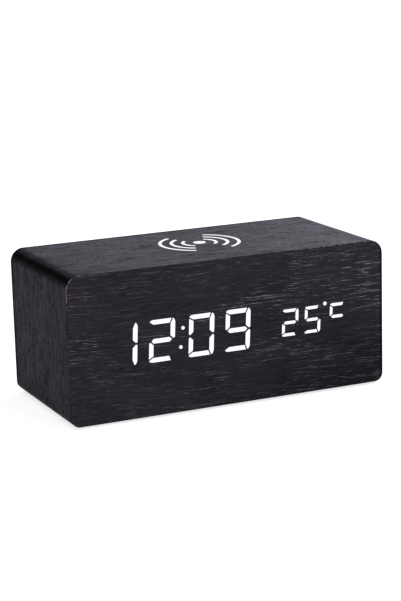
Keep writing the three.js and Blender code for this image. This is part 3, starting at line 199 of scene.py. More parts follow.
def worn_print(film, flat, printed):
    """The print with its rim worn: darkened by painted shade, worn to the pale paper or the bare fibre,
    and flaked. The pale paper is partly a painted highlight.
    """
    worn = film.node("Attribute", attribute_name="rim").outputs["Fac"]
    chip = film.sum(film.noise(flat, scale=420.0, detail=3.0), film.product(worn, 0.36))
    # Pale where the rim is worn through; round the front's upper left corner this is a painted highlight.
    rub_and_highlight = film.product(worn, film.ranged(chip, 0.74, 0.84))
    bare = film.tinted(film.ranged(worn, 0.90, 0.99), PALE_PAPER_AND_HIGHLIGHT, BARE_FIBRE)
    fleck = film.ranged(film.noise(flat, scale=900.0, detail=1.0), 0.60, 0.66)
    flaked = film.product(film.ranged(worn, FAINT_WEAR, CHIP_WEAR, 0.0, CHIP_WEAR), fleck)
    # Painted shade darkens the rim by half its wear value.
    printed = film.tinted(film.product(worn, 0.5), printed, SHADE_BLACK)
    printed = film.tinted(rub_and_highlight, printed, bare)
    return film.tinted(flaked, printed, FLAKE)


def wood_film(name, light, pores, contrast, painted_light):
    """Film printed up to a light tone, its pores pale by a share, with painted light by a share:
    painted shade towards the lower right and a painted highlight towards the upper right.
    """
    film = Finish(name)
    flat = film.node("UVMap").outputs[0]
    along, across = film.node("SeparateXYZ", {0: flat}).outputs[:2]
    wander = streaks(film, flat, along=20.0, over=20.0, seed=4.0, roughness=0.5)
    drift = film.ranged(wander, 0.0, 1.0, -GRAIN_WANDER, GRAIN_WANDER)
    grain = film.node("CombineXYZ", {0: along, 1: film.sum(across, drift)}).outputs[0]
    rightward = film.ranged(along, *UNEVEN_ACROSS)
    upward = film.ranged(across, *UNEVEN_UP, -1.0, 1.0)

    cloud = streaks(film, grain, along=30.0, over=75.0, seed=1.0, detail=2.0)
    band = streaks(film, grain, along=120.0, over=700.0, seed=2.0, detail=2.0)
    fine = streaks(film, grain, along=330.0, over=3000.0, seed=3.0, detail=2.0)
    streak = film.sum(film.product(fine, 0.5), film.product(band, 0.25), film.product(cloud, 0.25))
    dark = [DARK_SHARE * shade for shade in light]
    ground = film.tinted(film.ranged(streak, 0.5 - contrast, 0.5 + contrast), dark, light)

    pit = pore_pits(film, grain)
    crowd = film.sum(streaks(film, grain, along=24.0, over=80.0, seed=5.0),
                     film.ranged(rightward, 0.0, 1.0, -0.10, 0.10))
    pale = film.product(pit, film.ranged(crowd, 0.36, 0.64, 0.2, 1.0), pores)
    # Painted light: the print darkens towards the lower right and lightens towards the upper right.
    tone = film.ranged(film.product(rightward, upward), -1.0, 1.0, 1.0 - painted_light, 1.0 + painted_light)
    printed = film.node("VectorMath", {0: film.tinted(pale, ground, PORE), "Scale": tone}, operation="SCALE")
    # Painted shade: the bend attribute darkens the print towards black and takes away most of its gloss.
    painted_shade = film.node("Attribute", attribute_name="bend").outputs["Fac"]
    printed = film.tinted(painted_shade, printed.outputs[0], SHADE_BLACK)

    shine = film.sum(film.product(streaks(film, grain, along=70.0, over=640.0, seed=8.0, detail=2.0), 0.6),
                     film.product(streaks(film, grain, along=420.0, over=760.0, seed=9.0), 0.4))
    gloss = film.ranged(shine, 0.41, 0.53, 0.0015, 0.018)
    film.set("Roughness", film.ranged(streak, 0.3, 0.7, 0.58, 0.36))
    film.set("Specular IOR Level", film.product(gloss, film.ranged(painted_shade, 0.0, 1.0, 1.0, 0.15)))
    height = film.sum(fine, band, film.product(pit, -0.6))
    return film.coated(worn_print(film, flat, printed), height, distance=0.06 * MM, strength=0.5)


def linked(name, data):
    """A new object in the scene."""
    made = bpy.data.objects.new(name, data)
    bpy.context.scene.collection.objects.link(made)
    return made


def plain_mesh(carrier):
    """The mesh that an object shows with its modifiers. The object itself is taken away."""
    graph = bpy.context.evaluated_depsgraph_get()
    mesh = bpy.data.meshes.new_from_object(carrier.evaluated_get(graph), depsgraph=graph)
    bpy.data.objects.remove(carrier)
    return mesh


def settled(mesh, kind, **settings):
    """The mesh with a modifier worked into it."""
    carrier = linked("carrier", mesh)
    modifier = carrier.modifiers.new(kind, kind)
    for setting, value in settings.items():
        setattr(modifier, setting, value)
    return plain_mesh(carrier)


def smoothed(mesh, angle=35.0):
    """The mesh with smooth faces, and sharp edges where it turns by more than angle."""
    mesh.shade_smooth()
    mesh.set_sharp_from_angle(angle=math.radians(angle))
    return mesh


def place_piece(name, mesh, material, body, slot, *stands_for):
    """A finished piece that rides on a body and stands for these CAD nodes."""
    mesh.materials.clear()
    mesh.materials.append(material)
    mesh.polygons.foreach_set("material_index", [0] * len(mesh.polygons))
    piece = linked(name, mesh)
    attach(piece, body)
    if stands_for:
        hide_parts(*stands_for)


def following(points):
    """Each point of a closed outline with the one after it."""
    return zip(points, [*points[1:], points[0]])


def border_of(outlines):
    """The edges, as pairs of points, that faces with these outlines don't share."""
    border = {}
    for outline in outlines:
        for first, second in following(outline):
            if not border.pop((second, first), None):
                border[first, second] = True
    return list(border)


SAME_LEVEL = 0.002 * MM


def flat_loops(name, axis, level):
    """The outlines, in the two other axes, of a CAD node's flat face at this level of an axis."""
    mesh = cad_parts[name].data
    others = [i for i in range(3) if i != axis]
    spots = [tuple(round(v.co[i] / MM, 3) for i in others) for v in mesh.vertices]
    on_face = [abs(v.co[axis] - level) < SAME_LEVEL for v in mesh.vertices]
    faces = [face.vertices for face in mesh.polygons if all(on_face[i] for i in face.vertices)]
    after = dict(border_of([spots[i] for i in face] for face in faces))
    loops = []
    while after:
        start, spot = after.popitem()
        loop = [start]
        while spot != start:
            loop.append(spot)
            spot = after.pop(spot)
        loops.append([(a * MM, b * MM) for a, b in loop])
    return sorted(loops, key=len)


def reach(points, axis):
    """The least and greatest place of the points along an axis."""
    return min(p[axis] for p in points), max(p[axis] for p in points)


def width(points):
    """How wide an outline is."""
    low, high = reach(points, 0)
    return high - low


UPPER_CORNER = 6.0 * MM
LOWER_CORNER = 4.0 * MM
PRINT_ROOM = 0.03 * MM
LONGEST_STEP = 3.1 * MM
film_low, film_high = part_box("case_film")
case_width = film_high.x - film_low.x
case_height = film_high.z - film_low.z
case_middle = (film_high.z + film_low.z) / 2


def rounded_box(wide, high, upper, lower, inset=0.0, steps=20):
    """A rounded rectangle about the origin, from the middle of its lower side, right side first."""
    half_x, half_z = wide / 2 - inset, high / 2 - inset
    points = [(0.0, -half_z)]
    for turn, (sign_x, sign_z) in enumerate(((1, -1), (1, 1), (-1, 1), (-1, -1))):
        bend = (upper if sign_z > 0 else lower) - inset
        for step in range(steps + 1):
            angle = math.radians(-90 + 90 * turn + 90 * step / steps)
            points.append((sign_x * (half_x - bend) + bend * math.cos(angle),
                           sign_z * (half_z - bend) + bend * math.sin(angle)))
    return points


def divided(points):
    """An open run of points with its long steps split into short ones."""
    made = [points[0]]
    for first, second in zip(points, points[1:]):
        count = math.ceil(math.dist(first, second) / LONGEST_STEP)
        made += [tuple(Vector(first).lerp(Vector(second), i / count)) for i in range(1, count + 1)]
    return made


# The painted shade on the bends is darkest at this many degrees from their tops, and fades
# above and below over so many.
BEND_DARK = 48.0
BEND_ABOVE = 25.0
BEND_BELOW = 36.0
# How dark painted shade makes the film next to the bends, at the front, foot and rear, and how far
# that reaches.
TOP_DIM = 0.28
TOP_REACH = 9.0 * MM
EDGE_DIM = 0.25
EDGE_REACH = 2.2 * MM
LOW_DIM = 0.2
LOW_REACH = 24.0 * MM
BACK_DIM = 0.9
BACK_REACH = 3.0 * MM


def painted_bend_shade(spot):
    """How dark painted shade makes the film at a spot: most in the middle of each upper bend and at
    the rear edge, a little at the ends' front and foot."""
    aside = abs(spot.x) - (case_width / 2 - UPPER_CORNER)
    above = spot.z - (film_high.z - UPPER_CORNER)
    rear = BACK_DIM * min(1.0, 2 * max(0.0, 1 - (film_high.y - spot.y) / BACK_REACH))
    if above <= 0:
        front = EDGE_DIM * max(0.0, 1 - (spot.y - film_low.y) / EDGE_REACH)
        foot = LOW_DIM * max(0.0, 1 - (spot.z - film_low.z) / LOW_REACH)
        return max(front + foot if aside > 0 else 0.0, rear)
    if aside <= 0:
        return max(TOP_DIM * max(0.0, 1 + aside / TOP_REACH), rear)
    turn = math.degrees(math.atan2(aside, above)) - BEND_DARK
    fade, least = (BEND_BELOW, 0.0) if turn > 0 else (BEND_ABOVE, TOP_DIM)
    return max(1 - (turn / fade) ** 2, least, rear)


def set_shades(mesh, wear, shade):
    """Writes a film mesh's attributes: rim holds wear and painted highlight, bend painted shade."""
    rim = mesh.attributes.new("rim", "FLOAT", "POINT")
    bend = mesh.attributes.new("bend", "FLOAT", "POINT")
    rim.data.foreach_set("value", [wear(vertex) for vertex in mesh.vertices])
    bend.data.foreach_set("value", [shade(vertex.co) for vertex in mesh.vertices])


FILM = 0.4 * MM
FILM_EDGE = 0.12 * MM


def wrap_wear(vertex):
    """The wrap is faintly worn at its front and rear edges, where the same value sets a little painted shade.
    """
    at_end = min(vertex.co.y - film_low.y, film_high.y - vertex.co.y) < FILM_EDGE / 2
    return FAINT_WEAR if at_end else 0.0


def wrap_mesh():
    """The film as a tube along Y, with the mouth of the battery bay cut from its underside."""
    mouth = min(flat_loops("case_film", 2, film_low.z), key=width)
    mouth_x, mouth_y = reach(mouth, 0), reach(mouth, 1)
    ring = rounded_box(case_width, case_height, UPPER_CORNER, LOWER_CORNER, PRINT_ROOM)
    bottom = ring[0][1]
    ring = divided([(mouth_x[1], bottom), *ring[1:], (mouth_x[0], bottom)])
    lengths = [0.0]
    for first, second in following(ring):
        lengths.append(lengths[-1] + math.dist(first, second))
    back_rows = [film_high.y - BACK_REACH, film_high.y - BACK_REACH / 2, film_high.y]
    rows = [film_low.y, film_low.y + EDGE_REACH, *mouth_y, *back_rows]
    count = len(ring)
    verts = [(x, y, z + case_middle) for y in rows for x, z in ring]
    faces, flats = [], []
    for row in range(len(rows) - 1):
        for step in range(count):
            if rows[row] == mouth_y[0] and step == count - 1:
                continue
            after = (step + 1) % count
            near, far = row * count, (row + 1) * count
            faces.append((near + step, far + step, far + after, near + after))
            flats += [(lengths[step], rows[row]), (lengths[step], rows[row + 1]),
                      (lengths[step + 1], rows[row + 1]), (lengths[step + 1], rows[row])]
    mesh = bpy.data.meshes.new("wrapped_film")
    mesh.from_pydata(verts, [], faces)
    for spot, flat in zip(mesh.uv_layers.new(name="flat").data, flats):
        spot.uv = flat
    mesh = settled(mesh, "SOLIDIFY", thickness=FILM, offset=-1.0)
    mesh = settled(mesh, "BEVEL", width=FILM_EDGE, segments=2, angle_limit=math.radians(60))
    # rim holds the edges' faint wear, and bend the painted shade on the bends, ends and rear edge.
    set_shades(mesh, wrap_wear, painted_bend_shade)
    return settled(smoothed(mesh), "WEIGHTED_NORMAL", keep_sharp=True)


wrap_film = wood_film("wood_grain_wrap", (0.0242, 0.0203, 0.0298), pores=0.1, contrast=0.09, painted_light=0.0)
place_piece("wrap", wrap_mesh(), wrap_film, "case", "wood_grain_film", "case_film")


# Front film: a flat sheet of the same film over the front board, with the lit bars showing through.
# Its edge is rolled over the board's edge. The roll carries a painted highlight round the upper left
# corner, is worn to the fibre below it and chipped at the upper right, and has painted shade along
# the right side.
ROLL = 0.34 * MM
ROLL_STEPS = 5
# How far in from the right edge the painted shade reaches.
RIGHT_REACH = 1.5 * MM
GRAIN_LEAN = 0.035
# The roll is worn from this depth on. Round the corner it carries a painted highlight, weaker towards
# its top; down the side it is worn for some way, and it has chips from this place on to the right.
RUB_DEPTH = 0.07 * MM
CORNER_HIGHLIGHT = 0.86
CORNER_HIGHLIGHT_FADE = 0.17
SIDE_WEAR = 1.0
SIDE_WORN = 7.0 * MM
CHIPPED = 30.0 * MM
# Rounding takes no more than this share of a side, and this lean holds back a sharp corner's shift.
SIDE_SHARE = 0.4
LEAST_LEAN = 0.35


def corners(points):
    """Each corner of a closed outline with the ones before and after it."""
    spots = [Vector(point) for point in points]
    return zip([spots[-1], *spots[:-1]], spots, [*spots[1:], spots[0]])


def softened_corners(points, radius, steps=3):
    """A closed outline with its corners rounded, each by no more than a share of its sides."""
    made = []
    for before, corner, after in corners(points):
        back, ahead = before - corner, after - corner
        cut = min(radius, SIDE_SHARE * back.length, SIDE_SHARE * ahead.length)
        first, last = corner + back.normalized() * cut, corner + ahead.normalized() * cut
        for step in range(steps + 1):
            share = step / steps
            made.append(tuple(first.lerp(corner, share).lerp(corner.lerp(last, share), share)))
    return made


def shrunk(points, distance):
    """An outline moved inwards by distance."""
    area = sum(a[0] * b[1] - b[0] * a[1] for a, b in following(points))
    side = 1.0 if area > 0 else -1.0
    made = []
    for before, corner, after in corners(points):
        first, second = (corner - before).normalized(), (after - corner).normalized()
        inward = Vector((-first.y - second.y, first.x + second.x)).normalized() * side
        lean = max(LEAST_LEAN, inward.dot(Vector((-first.y, first.x))) * side)
        made.append(tuple(corner + inward * (distance / lean)))
    return made


def front_wear_and_highlight(spot):
    """How worn the front's edge is: most below its upper left corner, chipped at its upper right;
    round that corner the value makes a painted highlight.
    """
    below = film_high.z - spot.z - UPPER_CORNER
    if spot.x < UPPER_CORNER - case_width / 2 and below < SIDE_WORN:
        return SIDE_WEAR if below > 0 else CORNER_HIGHLIGHT + CORNER_HIGHLIGHT_FADE * (below / UPPER_CORNER) ** 3
    return CHIP_WEAR if spot.x > CHIPPED and below < 0 else FAINT_WEAR


def painted_right_shade(spot):
    """How much painted shade darkens the front's right edge at a spot."""
    inward = case_width / 2 - ROLL - spot.x
    return min(1.0, max(0.0, 1 - inward / RIGHT_REACH))


def add_ring(verts, points):
    """Adds points to a mesh's list and gives their numbers."""
    verts += points
    return range(len(verts) - len(points), len(verts))


def walls(rings):
    """Faces from each ring to the next; all have as many points, which are given by their numbers."""
    return [(near[i - 1], near[i], far[i], far[i - 1])
            for near, far in zip(rings, rings[1:]) for i in range(len(near))]


def lay_flat(mesh, rule):
    """Gives the mesh a flat map by a rule that turns a place into a flat one."""
    spots = mesh.uv_layers.new(name="flat").data
    for loop in mesh.loops:
        spots[loop.index].uv = rule(mesh.vertices[loop.vertex_index].co)


def outward_mesh(name, verts, faces):
    """A mesh whose faces look outward."""
    mesh = bpy.data.meshes.new(name)
    mesh.from_pydata(verts, [], faces)
    shape = bmesh.new()
    shape.from_mesh(mesh)
    bmesh.ops.recalc_face_normals(shape, faces=shape.faces[:])
    shape.to_mesh(mesh)
    shape.free()
    return mesh


def film_sheet(name, rings, holes, wear):
    """A sheet in the XZ plane: rings run from the outer face's edge to the back face's edge as
    (outline, y) pairs, each hole is an outline cut straight through, and wear tells an edge's wear
    and painted highlight."""
    verts = []
    front, back = rings[0][1], rings[-1][1]

    def add_loop(points, y):
        return add_ring(verts, [(x, y, z) for x, z in points])

    rims = [add_loop(points, y) for points, y in rings]
    cuts = [(add_loop(hole, front), add_loop(hole, back)) for hole in holes]
    faces = [face for loops in (rims, *cuts) for face in walls(loops)]
    for loops in ([rims[0], *(cut[0] for cut in cuts)], [rims[-1], *(cut[1] for cut in cuts)]):
        numbers = [i for loop in loops for i in loop]
        outlines = [[Vector((verts[i][0], verts[i][2], 0.0)) for i in loop] for loop in loops]
        faces += [tuple(numbers[i] for i in triangle) for triangle in tessellate_polygon(outlines)]
    mesh = outward_mesh(name, verts, faces)
    lay_flat(mesh, lambda spot: (spot.x, spot.z + GRAIN_LEAN * spot.x + FRONT_MAP))
    depths = {i: abs(y - front) for loop, (points, y) in zip(rims, rings) for i in loop}
    # rim holds wear and painted highlight from the roll's depth on; bend holds the painted shade.
    set_shades(mesh, lambda v: wear(v.co) * min(1.0, depths.get(v.index, 0.0) / RUB_DEPTH), painted_right_shade)
    return settled(smoothed(mesh), "WEIGHTED_NORMAL", keep_sharp=True)


WINDOW_CORNER = 0.12 * MM
WINDOW_TRIM = 0.08 * MM
front_low, front_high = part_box("front_film")
front_loops = flat_loops("front_film", 1, front_low.y)
front_outline = max(front_loops, key=width)
windows = [shrunk(loop, WINDOW_TRIM) for loop in front_loops if loop is not front_outline]


def front_ring(inset, y):
    """The front's outline drawn in by an inset, at a depth."""
    edge = rounded_box(case_width, case_height, UPPER_CORNER, LOWER_CORNER, PRINT_ROOM + inset)
    return [(x, z + case_middle) for x, z in divided(edge)], y


# An inner ring where the painted shade along the right edge fades out.
front_rings = [front_ring(ROLL + RIGHT_REACH, front_low.y)]
for step in range(ROLL_STEPS + 1):
    angle = math.radians(90 * step / ROLL_STEPS)
    front_rings.append(front_ring(ROLL * (1 - math.sin(angle)), front_low.y + ROLL * (1 - math.cos(angle))))
front_rings.append(front_ring(0.0, front_high.y))
window_holes = [softened_corners(loop, WINDOW_CORNER) for loop in windows]
front_sheet = film_sheet("front_sheet", front_rings, window_holes, front_wear_and_highlight)
# The front's print carries painted light: darker at the lower right, lighter at the upper right.
flat_film = wood_film("wood_grain_front", (0.0270, 0.0233, 0.0325), pores=1.0, contrast=0.2, painted_light=0.42)
place_piece("front_sheet", front_sheet, flat_film, "case", "wood_grain_film", "front_film")


# Lit bars: the ends of two clear light guides, bright white where the lamps behind them are on.
# They stand level with the film, each a hair smaller than its window.
BAR_INSET = 0.05 * MM
BAR_FADE = 0.14 * MM
BAR_SINK = 0.012 * MM
BAR_DEPTH = 3.0 * MM
BLUISH = (0.80, 0.86, 1.0)
WHITE = (1.0, 1.0, 1.0)


def tube(rings):
    """Faces of a closed tube through rings of as many points, given by their numbers."""
    return [tuple(rings[0]), tuple(rings[-1]), *walls(rings)]


def bar_mesh(name, outlines):
    """Bars in the front's windows; the attribute glow falls from 1 to 0 at each bar's edge."""
    verts, faces, glow = [], [], []
    front = front_low.y + BAR_SINK
    for outline in outlines:
        lit, edge = shrunk(outline, BAR_INSET + BAR_FADE), shrunk(outline, BAR_INSET)
        rings = []
        for points, y, level in ((lit, front, 1.0), (edge, front, 0.0), (edge, front + BAR_DEPTH, 0.0)):
            rings.append(add_ring(verts, [(x, y, z) for x, z in points]))
            glow += [level] * len(points)
        faces += tube(rings)
    mesh = outward_mesh(name, verts, faces)
    mesh.attributes.new("glow", "FLOAT", "POINT").data.foreach_set("value", glow)
    return mesh


def lit_white():
    """Light that is even over a bar, and weaker and a little blue at its edge."""
    finish = Finish("lit_white", Roughness=0.35, Base_Color=(0.05, 0.05, 0.05))
    glow = finish.node("Attribute", attribute_name="glow").outputs["Fac"]
    patch = finish.noise(finish.place(), scale=260.0, detail=1.0)
    level = finish.sum(finish.ranged(glow, 0.0, 0.6, 0.7, 0.97), finish.ranged(patch, 0.3, 0.7, 0.0, 0.05))
    finish.set("Emission Color", finish.tinted(glow, BLUISH, WHITE))
    finish.set("Emission Strength", level)
    return finish.material


bar_finish = lit_white()
temperature_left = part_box("temperature_light_guide")[0].x
lit_holes = {"time": [], "temperature": []}
for hole, loop in zip(window_holes, windows):
    lit_holes["time" if reach(loop, 0)[0] < temperature_left else "temperature"].append(hole)
for name, holes in lit_holes.items():
    bars = bar_mesh(f"lit_{name}_bars", holes)
    place_piece(f"lit_{name}_bars", bars, bar_finish, "case", "light_bar", f"{name}_light_guide")


# Display stack: a white reflector and a lamp board behind the front board, held by four screws.
# The board carries the clock chip and its crystal, and a ribbon runs from it to the controls.
def moulded_plastic(name, colour, shade, roughness, texture=1400.0):
    """Plastic with the fine sparkle of a moulding tool and slight flow shading."""
    finish = Finish(name, Specular_IOR_Level=0.4)
    speck = finish.noise(finish.place(), texture, detail=3.0, roughness=0.6)
    flow = finish.noise(finish.place(), scale=90.0)
    finish.set("Roughness", finish.ranged(speck, 0.3, 0.7, roughness - 0.08, roughness + 0.1))
    shaded = finish.tinted(finish.ranged(flow, 0.35, 0.65), shade, colour)
    return finish.coated(shaded, speck, distance=0.03 * MM, strength=0.5)


def circuit_board():
    """Green lacquer over fine copper tracks."""
    finish = Finish("green_circuit_board", Roughness=0.35)
    cells = {"Vector": finish.place(), "Scale": 300.0}
    ways = finish.node("TexVoronoi", cells, distance="MANHATTAN", feature="DISTANCE_TO_EDGE").outputs[0]
    track = finish.ranged(ways, 0.04, 0.07, 1.0, 0.0)
    weave = finish.noise(finish.place(), scale=1500.0)
    ground = finish.tinted(weave, (0.008, 0.060, 0.022), (0.014, 0.095, 0.036))
    lacquer = finish.tinted(track, ground, (0.035, 0.16, 0.065))
    return finish.coated(lacquer, track, distance=0.04 * MM, strength=0.5)


def bright_metal(name, colour, dark, roughness):
    """Metal with drawing marks and slight tarnish."""
    finish = Finish(name, Metallic=1.0)
    marks = finish.noise(finish.place((300.0, 300.0, 3000.0)), detail=3.0)
    cloud = finish.noise(finish.place(), scale=220.0)
    finish.set("Roughness", finish.ranged(marks, 0.3, 0.7, roughness - 0.07, roughness + 0.1))
    tarnished = finish.tinted(finish.ranged(cloud, 0.35, 0.7), colour, dark)
    return finish.coated(tarnished, marks, distance=0.02 * MM, strength=0.3)


def striped_ribbon():
    """Grey flat cable of several wires side by side."""
    finish = Finish("ribbon_cable", Roughness=0.5)
    stripes = {"Vector": finish.place((1.0, 0.0, 0.0)), "Scale": 260.0, "Distortion": 0.0}
    wires = finish.node("TexWave", stripes, bands_direction="X").outputs["Fac"]
    grey = finish.tinted(wires, (0.22, 0.22, 0.23), (0.46, 0.46, 0.46))
    return finish.coated(grey, wires, distance=0.1 * MM, strength=0.6)


def four_names(piece, rows):
    """The names of four like CAD nodes in two rows."""
    return [f"{piece}_{row}_{side}" for row in rows for side in ("left", "right")]


white_plastic = moulded_plastic("white_plastic", (0.78, 0.77, 0.74), (0.68, 0.67, 0.64), 0.45)
black_plastic = moulded_plastic("black_plastic", (0.020, 0.020, 0.021), (0.012, 0.012, 0.013), 0.48)
chip_resin = moulded_plastic("chip_resin", (0.016, 0.016, 0.017), (0.009, 0.009, 0.010), 0.4, 2400.0)
green_board = circuit_board()
steel = bright_metal("bright_steel", (0.62, 0.63, 0.65), (0.45, 0.45, 0.46), 0.3)
dress(white_plastic, "display_reflector")
dress(green_board, "display_board")
dress(chip_resin, "clock_chip")
dress(steel, "quartz_crystal", *four_names("display_screw", ("lower", "upper")))
dress(striped_ribbon(), "display_ribbon")


# Charging mark: a dot between two sets of three arcs, printed white on the top over the coil.
# The ink is a thin even coat that takes a little of the film's grain.
MARK_PRINT = 0.02 * MM
MARK_DOT = 2.85 * MM
MARK_STROKE = 1.5 * MM
MARK_RADII = (7.5 * MM, 12.6 * MM, 17.7 * MM)
DOT_STEPS = 64
ARC_STEPS = 48
# The arcs end along lines at this many degrees, which pass the middle at this distance.
MARK_CUT = 68.0
MARK_CLEAR = 2.15 * MM


def middle_of(name):
    """The middle of a CAD node's box."""
    low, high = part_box(name)
    return (low + high) / 2


mark_middle = middle_of("ferrite_disc")


def circle(radius, steps, x=0.0, y=0.0):
    """Points round a circle about a middle."""
    angles = [math.tau * i / steps for i in range(steps)]
    return [(x + radius * math.cos(a), y + radius * math.sin(a)) for a in angles]


def strip(inner, outer):
    """Flat faces between two runs of as many points."""
    return [(inner[i], inner[i + 1], outer[i + 1], outer[i]) for i in range(len(inner) - 1)]


def printed_mesh(name, flats, place):
    """A thin closed coat of ink over flat faces; place puts a flat point at a height over the film."""
    verts, faces, numbers = [], [], {}
    for flat in flats:
        for spot in flat:
            if spot not in numbers:
                numbers[spot] = add_ring(verts, [place(*spot, 0.0), place(*spot, MARK_PRINT)])
        faces += [[numbers[spot][level] for spot in flat] for level in (0, 1)]
    faces += [(*numbers[first], *numbers[second][::-1]) for first, second in border_of(flats)]
    return outward_mesh(name, verts, faces)


def mark_flats():
    """The mark's dot and arcs about its middle, as flat faces."""
    flats = [circle(MARK_DOT, DOT_STEPS)]
    for radius in MARK_RADII:
        sweep = MARK_CUT - math.degrees(math.asin(MARK_CLEAR / radius))
        for facing in (0.0, 180.0):
            angles = [math.radians(facing - sweep + 2 * sweep * i / ARC_STEPS) for i in range(ARC_STEPS + 1)]
            edges = (radius - MARK_STROKE / 2, radius + MARK_STROKE / 2)
            flats += strip(*([(edge * math.cos(a), edge * math.sin(a)) for a in angles] for edge in edges))
    return flats


def on_top(x, y, height):
    """A point of the mark at a height over the case's top."""
    return mark_middle.x + x, mark_middle.y + y, film_high.z - PRINT_ROOM + height


def white_ink():
    """White ink that the film's grain shows through a little."""
    finish = Finish("white_ink", Specular_IOR_Level=0.3)
    grain = finish.noise(finish.place((90.0, 2400.0, 1.0)), detail=3.0)
    finish.set("Roughness", finish.ranged(grain, 0.3, 0.7, 0.6, 0.45))
    white = finish.tinted(finish.ranged(grain, 0.3, 0.6), (0.78, 0.78, 0.80), (0.90, 0.90, 0.90))
    return finish.coated(white, grain, distance=0.02 * MM, strength=0.3)


ink = white_ink()
charging_mark = printed_mesh("charging_mark", mark_flats(), on_top)
place_piece("charging_mark", charging_mark, ink, "case", "white_plastic")


# Charging pad: a flat coil of stranded copper wire on a ferrite disc, under a thinned part of the top.
# A white carrier holds both and hangs the charger board below on two posts; the wire's ends go down to it.
COIL_TURNS = 7
COIL_STEPS = 72
COIL_WIRE = 0.6 * MM
COIL_BEND = 1.6 * MM
COIL_INNER = 10.0 * MM
COIL_PITCH = 1.75 * MM
WIRE_SIDES = 3
# A lead's bend, as shares of its way aside and of its drop.
LEAD_CURVE = ((1.0, 1.0), (0.9, 0.6), (0.6, 0.18), (0.3, 0.0))
coil_bottom, coil_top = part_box("charging_coil")
coil_level = coil_top.z - COIL_WIRE


def round_wire(name, points, radius):
    """A round wire through the points."""
    path = bpy.data.curves.new(name, "CURVE")
    path.dimensions = "3D"
    path.bevel_depth = radius
    path.bevel_resolution = WIRE_SIDES
    path.use_fill_caps = True
    spline = path.splines.new("POLY")
    spline.points.add(len(points) - 1)
    for spot, point in zip(spline.points, points):
        spot.co = (*point, 1.0)
    return smoothed(plain_mesh(linked(name, path)), 60.0)


def coil_lead(x, bend):
    """The wire's way up from the board to the coil's level, bent over to one side."""
    rise = [(x, bend, coil_bottom.z)]
    return rise + [(x, aside * bend, coil_level - drop * COIL_BEND) for aside, drop in LEAD_CURVE]


def coil_mesh():
    """A flat spiral with both its ends led down."""
    steps = COIL_STEPS * COIL_TURNS
    turns = []
    for i in range(steps + 1):
        angle = math.tau * i / COIL_STEPS
        radius = COIL_INNER + COIL_PITCH * i / COIL_STEPS
        turns.append((radius * math.cos(angle), radius * math.sin(angle), coil_level))
    outer = COIL_INNER + COIL_TURNS * COIL_PITCH
    points = [*coil_lead(COIL_INNER, -COIL_BEND), *turns, *coil_lead(outer, COIL_BEND)[::-1]]
    return round_wire("coil", [(mark_middle.x + x, mark_middle.y + y, z) for x, y, z in points], COIL_WIRE)


def stranded_copper():
    """Fine copper strands twisted together."""
    finish = Finish("stranded_copper", Metallic=1.0)
    strands = {"Vector": finish.place(), "Scale": 900.0, "Distortion": 2.0}
    twist = finish.node("TexWave", strands, bands_direction="DIAGONAL").outputs["Fac"]
    finish.set("Roughness", finish.ranged(twist, 0.0, 1.0, 0.5, 0.3))
    copper = finish.tinted(twist, (0.30, 0.12, 0.05), (0.62, 0.28, 0.13))
    return finish.coated(copper, twist, distance=0.08 * MM, strength=0.6)


place_piece("coil", coil_mesh(), stranded_copper(), "case", "coil_wire", "charging_coil")
ferrite = moulded_plastic("ferrite", (0.050, 0.050, 0.052), (0.032, 0.032, 0.034), 0.75, 2600.0)
dress(ferrite, "ferrite_disc")
dress(white_plastic, "coil_carrier")
dress(green_board, "charger_board")
dress(steel, "charger_screw_left", "charger_screw_right")


# Rear film: the same film over the rear board, set back inside the case, pierced for the controls.
# The holes are punched clean through the sheet.
ROUND_SHARE = 0.02
HOLE_STEPS = 40
HOLE_CORNER = 0.5 * MM
SHEET_CORNER = 0.4 * MM


def finer(points):
    """A CAD outline with its facets smoothed: a round one becomes the largest circle inside it."""
    middle = Vector((sum(p[0] for p in points), sum(p[1] for p in points))) / len(points)
    radii = [(Vector(p) - middle).length for p in points]
    if max(radii) - min(radii) < ROUND_SHARE * max(radii):
        return circle(min(radii) * math.cos(math.pi / len(points)), HOLE_STEPS, *middle)
    return softened_corners(points, HOLE_CORNER)


rear_low, rear_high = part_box("rear_film")
rear_loops = flat_loops("rear_film", 1, rear_high.y)
rear_outline = max(rear_loops, key=width)
rear_holes = [finer(loop) for loop in rear_loops if loop is not rear_outline]
rear_edge = softened_corners(rear_outline, SHEET_CORNER)
rear_rings = [(shrunk(rear_edge, FILM_EDGE), rear_high.y), (rear_edge, rear_high.y - FILM_EDGE),
              (rear_edge, rear_low.y)]
rear_sheet = film_sheet("rear_sheet", rear_rings, rear_holes, lambda spot: FAINT_WEAR)
# The rear sheet takes the same print, painted light included.
place_piece("rear_sheet", rear_sheet, flat_film, "case", "wood_grain_film", "rear_film")


# Controls: a bracket and a board behind the rear board with three switches, a buzzer and two sensors.
# Each button is a round moulded cap with a shallow dish, guided by its hole, on a plunger.
BUTTONS = ("mode", "up", "down")
BUTTON_EDGE = 0.55 * MM
BUTTON_DISH = 0.35 * MM
DISH_STEPS = 6
BUTTON_LIP = 1.2 * MM
LIP_DEPTH = 1.25 * MM


def turned(name, profile, steps=48):
    """A closed shape turned about Z from (radius, height) points that start and end on the axis."""
    verts = [(0.0, 0.0, profile[0][1]), (0.0, 0.0, profile[-1][1])]
    rings = [add_ring(verts, [(x, y, height) for x, y in circle(radius, steps)])
             for radius, height in profile[1:-1]]
    faces = walls(rings)
    for pole, ring in enumerate((rings[0], rings[-1])):
        faces += [(pole, ring[i - 1], ring[i]) for i in range(steps)]
    mesh = outward_mesh(name, verts, faces)
    lay_flat(mesh, lambda spot: (math.atan2(spot.y, spot.x) / math.tau, spot.z))
    return smoothed(mesh, 40.0)


